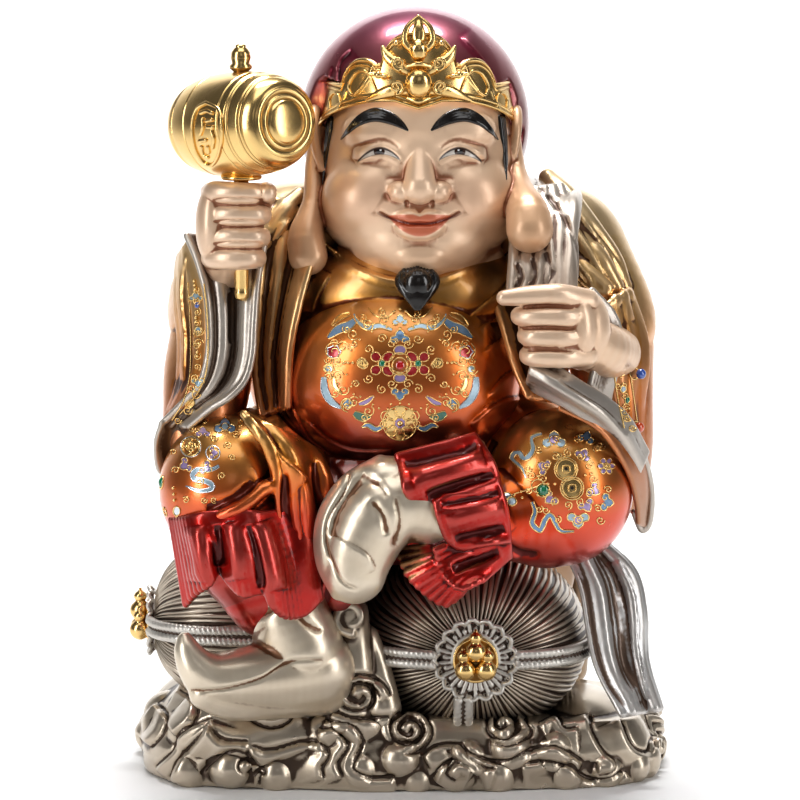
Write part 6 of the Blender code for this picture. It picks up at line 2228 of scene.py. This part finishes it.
class STATUE_OT_clothes(bpy.types.Operator):
    """Models tunic, robe, sleeve linings, sack, trousers, frills and sash"""

    bl_idname = "statue.clothes"
    bl_label = "Clothes"

    def execute(self, context):
        carving, colours = context.scene.statue_carving, context.scene.statue_paint
        grain, patina_and_shade, silver, red = carving.cloth_grain, tuple(colours.patina_and_shade), tuple(colours.silver), tuple(colours.red)
        # Gold at the top fading to red is the lacquer's own colour; the darkening to near black towards the bottom of
        # the belly is painted shade.
        tunic = body_paint("copper_lacquer", ((160, (0.10, 0.008, 0.004)), (178, (0.34, 0.030, 0.005)), (196, (0.70, 0.13, 0.010)),
                                              (222, (0.76, 0.24, 0.028)), (240, (0.62, 0.30, 0.07)), (258, (0.56, 0.31, 0.10))),
                           (0.10, 0.014, 0.005), metallic=0.88, roughness=0.30, coat=0.5, edge=0.05)
        piece("tunic", tunic_clay(), grain, 8, tunic, 60000, tunic_lines(), soften=2)
        robe = body_paint("bronze_lacquer", ((60, (0.30, 0.20, 0.11)), (150, (0.40, 0.13, 0.03)), (190, (0.58, 0.17, 0.022)),
                                             (225, (0.72, 0.34, 0.10)), (250, (0.78, 0.50, 0.22)), (285, (0.84, 0.62, 0.34))),
                          (0.06, 0.016, 0.007), metallic=0.82, roughness=0.32, coat=0.4, edge=0.1)
        piece("robe", robe_clay(), grain, 5, robe, 110000, robe_lines(), soften=2)
        pearl = lacquer("silver_lining", silver, (0.10, 0.055, 0.03), metallic=0.65, roughness=0.34, coat=0.35)
        piece("linings", linings_clay(), 0.0007, 4, pearl, 90000, linings_lines(), soften=1)
        # Painted shade: darker towards the bottom, where the sack hangs behind the figure.
        grey = body_paint("sack_lacquer", ((150, (0.14, 0.09, 0.06)), (240, (0.34, 0.24, 0.17)), (280, (0.50, 0.44, 0.38))),
                          (0.07, 0.032, 0.018), metallic=0.65, roughness=0.34, coat=0.4)
        piece("sack", sack_clay(), grain, 4, grey, 60000, sack_lines(), soften=1)
        trousers = body_paint("candy_lacquer", ((92, (0.28, 0.006, 0.004)), (118, (0.55, 0.014, 0.006)), (138, (0.70, 0.060, 0.008)),
                                                (156, (0.76, 0.18, 0.016)), (172, (0.66, 0.30, 0.055)), (190, (0.62, 0.38, 0.13))),
                              (0.08, 0.005, 0.003), metallic=0.88, roughness=0.30, coat=0.5, edge=0.05)
        piece("trousers", trousers_clay(), grain, 12, trousers, 90000, trousers_lines(), soften=2)
        for name, clay, throat, mouth in (("right_frill", right_frill_clay(), (-74, -62, 122), (-70, -68, 93)),
                                          ("left_frill", left_frill_clay(), (50, -76, 138), (15, -92, 130))):
            made = fused(name, clay, 0.0007, 6)
            carve(made, frill_lines(), soften=1)
            thin(made, 60000)
            points, normals = points_of(made.data), normals_of(made.data)
            start, way = np.array(at(*throat)), np.array(Vector(mouth) - Vector(throat))
            way /= np.linalg.norm(way)
            apart = points - start
            apart -= (apart @ way)[:, None] * way
            note(made.data, "lining", np.clip(-3.0 * (normals * apart).sum(axis=1) / np.linalg.norm(apart, axis=1), 0, 1))
            paint = lacquer(f"{name}_lacquer",
                            lambda paint: paint.mix(paint.kept("lining"), red, (0.40, 0.22, 0.10)),
                            (0.06, 0.004, 0.003), metallic=0.8, roughness=0.30, coat=0.5, edge=0.05)
            finish(made, "painted_resin", paint, "statue", triangles=60000)
            MADE[name] = made
        cloth = lacquer("sash_lacquer", (0.56, 0.55, 0.54), (0.12, 0.065, 0.035), metallic=0.65, roughness=0.34, coat=0.4)
        piece("sash", sash_clay(), grain, 4, cloth, 40000, sash_lines(), soften=1)
        return {"FINISHED"}


class STATUE_OT_boots(bpy.types.Operator):
    """Models the two boots"""

    bl_idname = "statue.boots"
    bl_label = "Boots"

    def execute(self, context):
        carving, colours = context.scene.statue_carving, context.scene.statue_paint
        paint = lacquer("boot_lacquer", (0.74, 0.64, 0.50), (0.16, 0.06, 0.02), metallic=0.7, roughness=0.32, coat=0.3,
                        start=0.16)
        piece("boots", boots_clay(), carving.cloth_grain, 14, paint, 60000, boots_lines(), soften=1)
        return {"FINISHED"}


class STATUE_OT_bales(bpy.types.Operator):
    """Combs the straw of both bales, with their caps, ropes and gourds"""

    bl_idname = "statue.bales"
    bl_label = "Straw Bales"

    def execute(self, context):
        carving, colours = context.scene.statue_carving, context.scene.statue_paint
        gold = MADE.setdefault("gold", gilding("gilding", tuple(colours.gold)))
        straw = lacquer("straw_lacquer", (0.50, 0.43, 0.35), (0.045, 0.022, 0.013), metallic=0.75, roughness=0.34, coat=0.2,
                        start=0.06)
        white = lacquer("cap_lacquer", (0.60, 0.58, 0.54), (0.08, 0.045, 0.028), metallic=0.6, roughness=0.36, coat=0.2,
                        start=0.1)
        for name, sizes, frills, ropes in (("front", FRONT_BALE, 17, front_ropes()), ("side", SIDE_BALE, 15, side_ropes())):
            made = bale_straw(f"{name}_straw", sizes, carving.straws)
            finish(made, "painted_resin", straw, "statue", triangles=120000)
            MADE[f"{name}_straw"] = made
            piece(f"{name}_cap", bale_cap_clay(sizes, frills), 0.0005, 1, white, 36000)
            piece(f"{name}_ropes", rope_clay(ropes), 0.0006, 1, white, 36000)
            finish(gourd_cluster(f"{name}_gourd_cluster", sizes), "polished_gold", gold, f"{name}_gourds", triangles=30000)
        return {"FINISHED"}


class STATUE_OT_base(bpy.types.Operator):
    """Models the bank of clouds"""

    bl_idname = "statue.base"
    bl_label = "Cloud Base"

    def execute(self, context):
        carving, colours = context.scene.statue_carving, context.scene.statue_paint
        paint = lacquer("cloud_lacquer", (0.54, 0.46, 0.36), (0.045, 0.022, 0.012), metallic=0.8, roughness=0.30, coat=0.3,
                        start=0.1)
        clouds = fused("clouds", base_clay(), carving.cloth_grain, 10)
        carve(clouds, *base_lines(), soften=1)
        # The foot is flat on the floor
        points = points_of(clouds.data)
        points[:, 2] = np.maximum(points[:, 2], 0.0)
        put_points(clouds.data, points)
        MADE["clouds"] = finish(clouds, "painted_resin", paint, "statue", triangles=150000)
        return {"FINISHED"}


class STATUE_OT_ornament(bpy.types.Operator):
    """Notes how sheltered each place is, for the painted shade in the folds, and lays wires, enamel, beads and stones
    on belly, knees and sleeves
    """

    bl_idname = "statue.ornament"
    bl_label = "Painted Shade and Filigree"

    def execute(self, context):
        # How sheltered every piece is, which the lacquers and the skin darken as painted shade.
        note_shelter([made for name, made in MADE.items() if name != "gold"])
        gold = MADE.setdefault("gold", gilding("gilding", tuple(context.scene.statue_paint.gold)))
        silver = gilding("silver_wire", (0.70, 0.74, 0.78), roughness=0.2)
        paints = ornament_paints(gold, silver)
        skins = {name: skin_tree(MADE[name]) for name in ("tunic", "trousers")}
        skins["robe"] = skin_tree(MADE["robe"], MADE["linings"])
        works = {name: Filigree(skins[name], PICTURE_VIEW) for name in skins}
        belly_filigree(works["tunic"])
        left_knee_filigree(works["trousers"])
        right_knee_filigree(works["trousers"])
        sleeve_filigree(works["robe"])
        gems = {name: gem(f"{name}_glass", colour) for name, colour in GEM_COLOURS.items()}
        for name, (colour, slot, radius) in STONES.items():
            work = works["tunic" if "belly" in name else "trousers" if "knee" in name or "tassel" in name else "robe"]
            low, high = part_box(name)
            spot = (low + high) / 2 - SHIFT
            hit, normal, _, _ = work.seat.find_nearest(spot)
            made, spot = cabochon(name, normal, radius)
            work.bezel(hit, normal, radius)
            finish(made, slot, gems[colour], name)
        for name, work in works.items():
            work.build(f"{name}_filigree", paints, ORNAMENT_SLOTS)
        return {"FINISHED"}


def soft_light(name, place, aim, size, power, tint=(1.0, 1.0, 1.0)):
    light = bpy.data.lights.new(name, "AREA")
    light.shape = "RECTANGLE"
    light.size, light.size_y = size
    light.energy = power
    light.color = tint
    made = bpy.data.objects.new(name, light)
    made.location = place
    made.rotation_euler = (Vector(aim) - Vector(place)).to_track_quat("-Z", "Y").to_euler()
    bpy.context.scene.collection.objects.link(made)


class STATUE_OT_stage(bpy.types.Operator):
    """Sets the floor, the lights and the camera"""

    bl_idname = "statue.stage"
    bl_label = "Stage"

    def execute(self, context):
        stage = context.scene.statue_stage
        shapes = bmesh.new()
        made = bmesh.ops.create_grid(shapes, x_segments=1, y_segments=24, size=1.0)["verts"]
        for vert in made:
            run = vert.co.y * 3.0
            back = max(0.0, run - 1.0)
            turn = min(back / 0.8, math.pi / 2)
            vert.co = Vector((vert.co.x * 5.0, min(run, 1.0) + 0.8 * math.sin(turn),
                              0.8 * (1 - math.cos(turn)) + max(0.0, back - 0.8 * math.pi / 2)))
        mesh = bpy.data.meshes.new("floor")
        shapes.to_mesh(mesh)
        shapes.free()
        mesh.shade_smooth()
        floor = object_of("floor", mesh)
        pale = Paint("pale_floor")
        pale.set(Base_Color=(0.86, 0.86, 0.86), Roughness=0.6)
        mesh.materials.append(pale.material)
        world = bpy.data.worlds.new("soft_room")
        world.use_nodes = True
        world.node_tree.nodes["Background"].inputs["Color"].default_value = (0.80, 0.82, 0.86, 1.0)
        world.node_tree.nodes["Background"].inputs["Strength"].default_value = 0.10
        context.scene.world = world
        aim = (0.0, 0.0, 0.19)
        soft_light("left_strip", (-1.15, -0.85, 0.65), aim, (0.35, 1.3), stage.key_power)
        soft_light("right_strip", (1.20, -0.75, 0.55), aim, (0.35, 1.3), stage.key_power * 0.75)
        soft_light("top_panel", (0.0, -0.35, 1.35), aim, (0.9, 0.6), stage.key_power * 0.38)
        soft_light("front_panel", (0.25, -2.3, 1.25), aim, (0.7, 0.7), stage.key_power * 0.1)
        soft_light("wall_wash", (0.0, 0.55, 2.2), (0.0, 1.6, 0.55), (1.2, 0.4), stage.key_power * 7.5)
        context.scene.view_settings.view_transform = "Standard"
        context.scene.view_settings.look = "Medium High Contrast"
        camera = bpy.data.cameras.new("camera")
        camera.lens = 36.0 * stage.distance / stage.field
        camera.sensor_width = 36.0
        camera.clip_end = 20.0
        eye = bpy.data.objects.new("camera", camera)
        middle = at(0.0, 0.0, CAMERA_AIM) + SHIFT
        way = Vector((0, math.cos(stage.elevation), -math.sin(stage.elevation)))
        eye.location = middle - way * stage.distance
        eye.rotation_euler = way.to_track_quat("-Z", "Y").to_euler()
        context.scene.collection.objects.link(eye)
        context.scene.camera = eye
        return {"FINISHED"}


class STATUE_PT_pieces(bpy.types.Panel):
    """Lists the statue's pieces"""

    bl_label = "Statue"
    bl_idname = "STATUE_PT_pieces"
    bl_space_type = "VIEW_3D"
    bl_region_type = "UI"
    bl_category = "Statue"

    def draw(self, context):
        for group in (context.scene.statue_carving, context.scene.statue_paint, context.scene.statue_stage):
            for name in group.__annotations__:
                self.layout.prop(group, name)
        for maker in OPERATORS:
            self.layout.operator(maker.bl_idname)


OPERATORS = (STATUE_OT_head, STATUE_OT_hood, STATUE_OT_crown, STATUE_OT_mallet, STATUE_OT_clothes, STATUE_OT_boots,
             STATUE_OT_bales, STATUE_OT_base, STATUE_OT_ornament, STATUE_OT_stage)
GROUPS = {"statue_carving": StatueCarving, "statue_paint": StatuePaint, "statue_stage": StatueStage}


def register():
    for group in GROUPS.values():
        bpy.utils.register_class(group)
    for name, group in GROUPS.items():
        setattr(bpy.types.Scene, name, bpy.props.PointerProperty(type=group))
    for maker in (*OPERATORS, STATUE_PT_pieces):
        bpy.utils.register_class(maker)


def unregister():
    for maker in (STATUE_PT_pieces, *reversed(OPERATORS)):
        bpy.utils.unregister_class(maker)
    for name, group in GROUPS.items():
        delattr(bpy.types.Scene, name)
        bpy.utils.unregister_class(group)


def main():
    register()
    bpy.ops.statue.head()
    bpy.ops.statue.hood()
    bpy.ops.statue.crown()
    bpy.ops.statue.mallet()
    bpy.ops.statue.clothes()
    bpy.ops.statue.boots()
    bpy.ops.statue.bales()
    bpy.ops.statue.base()
    bpy.ops.statue.ornament()
    bpy.ops.statue.stage()


if __name__ == "__main__":
    main()
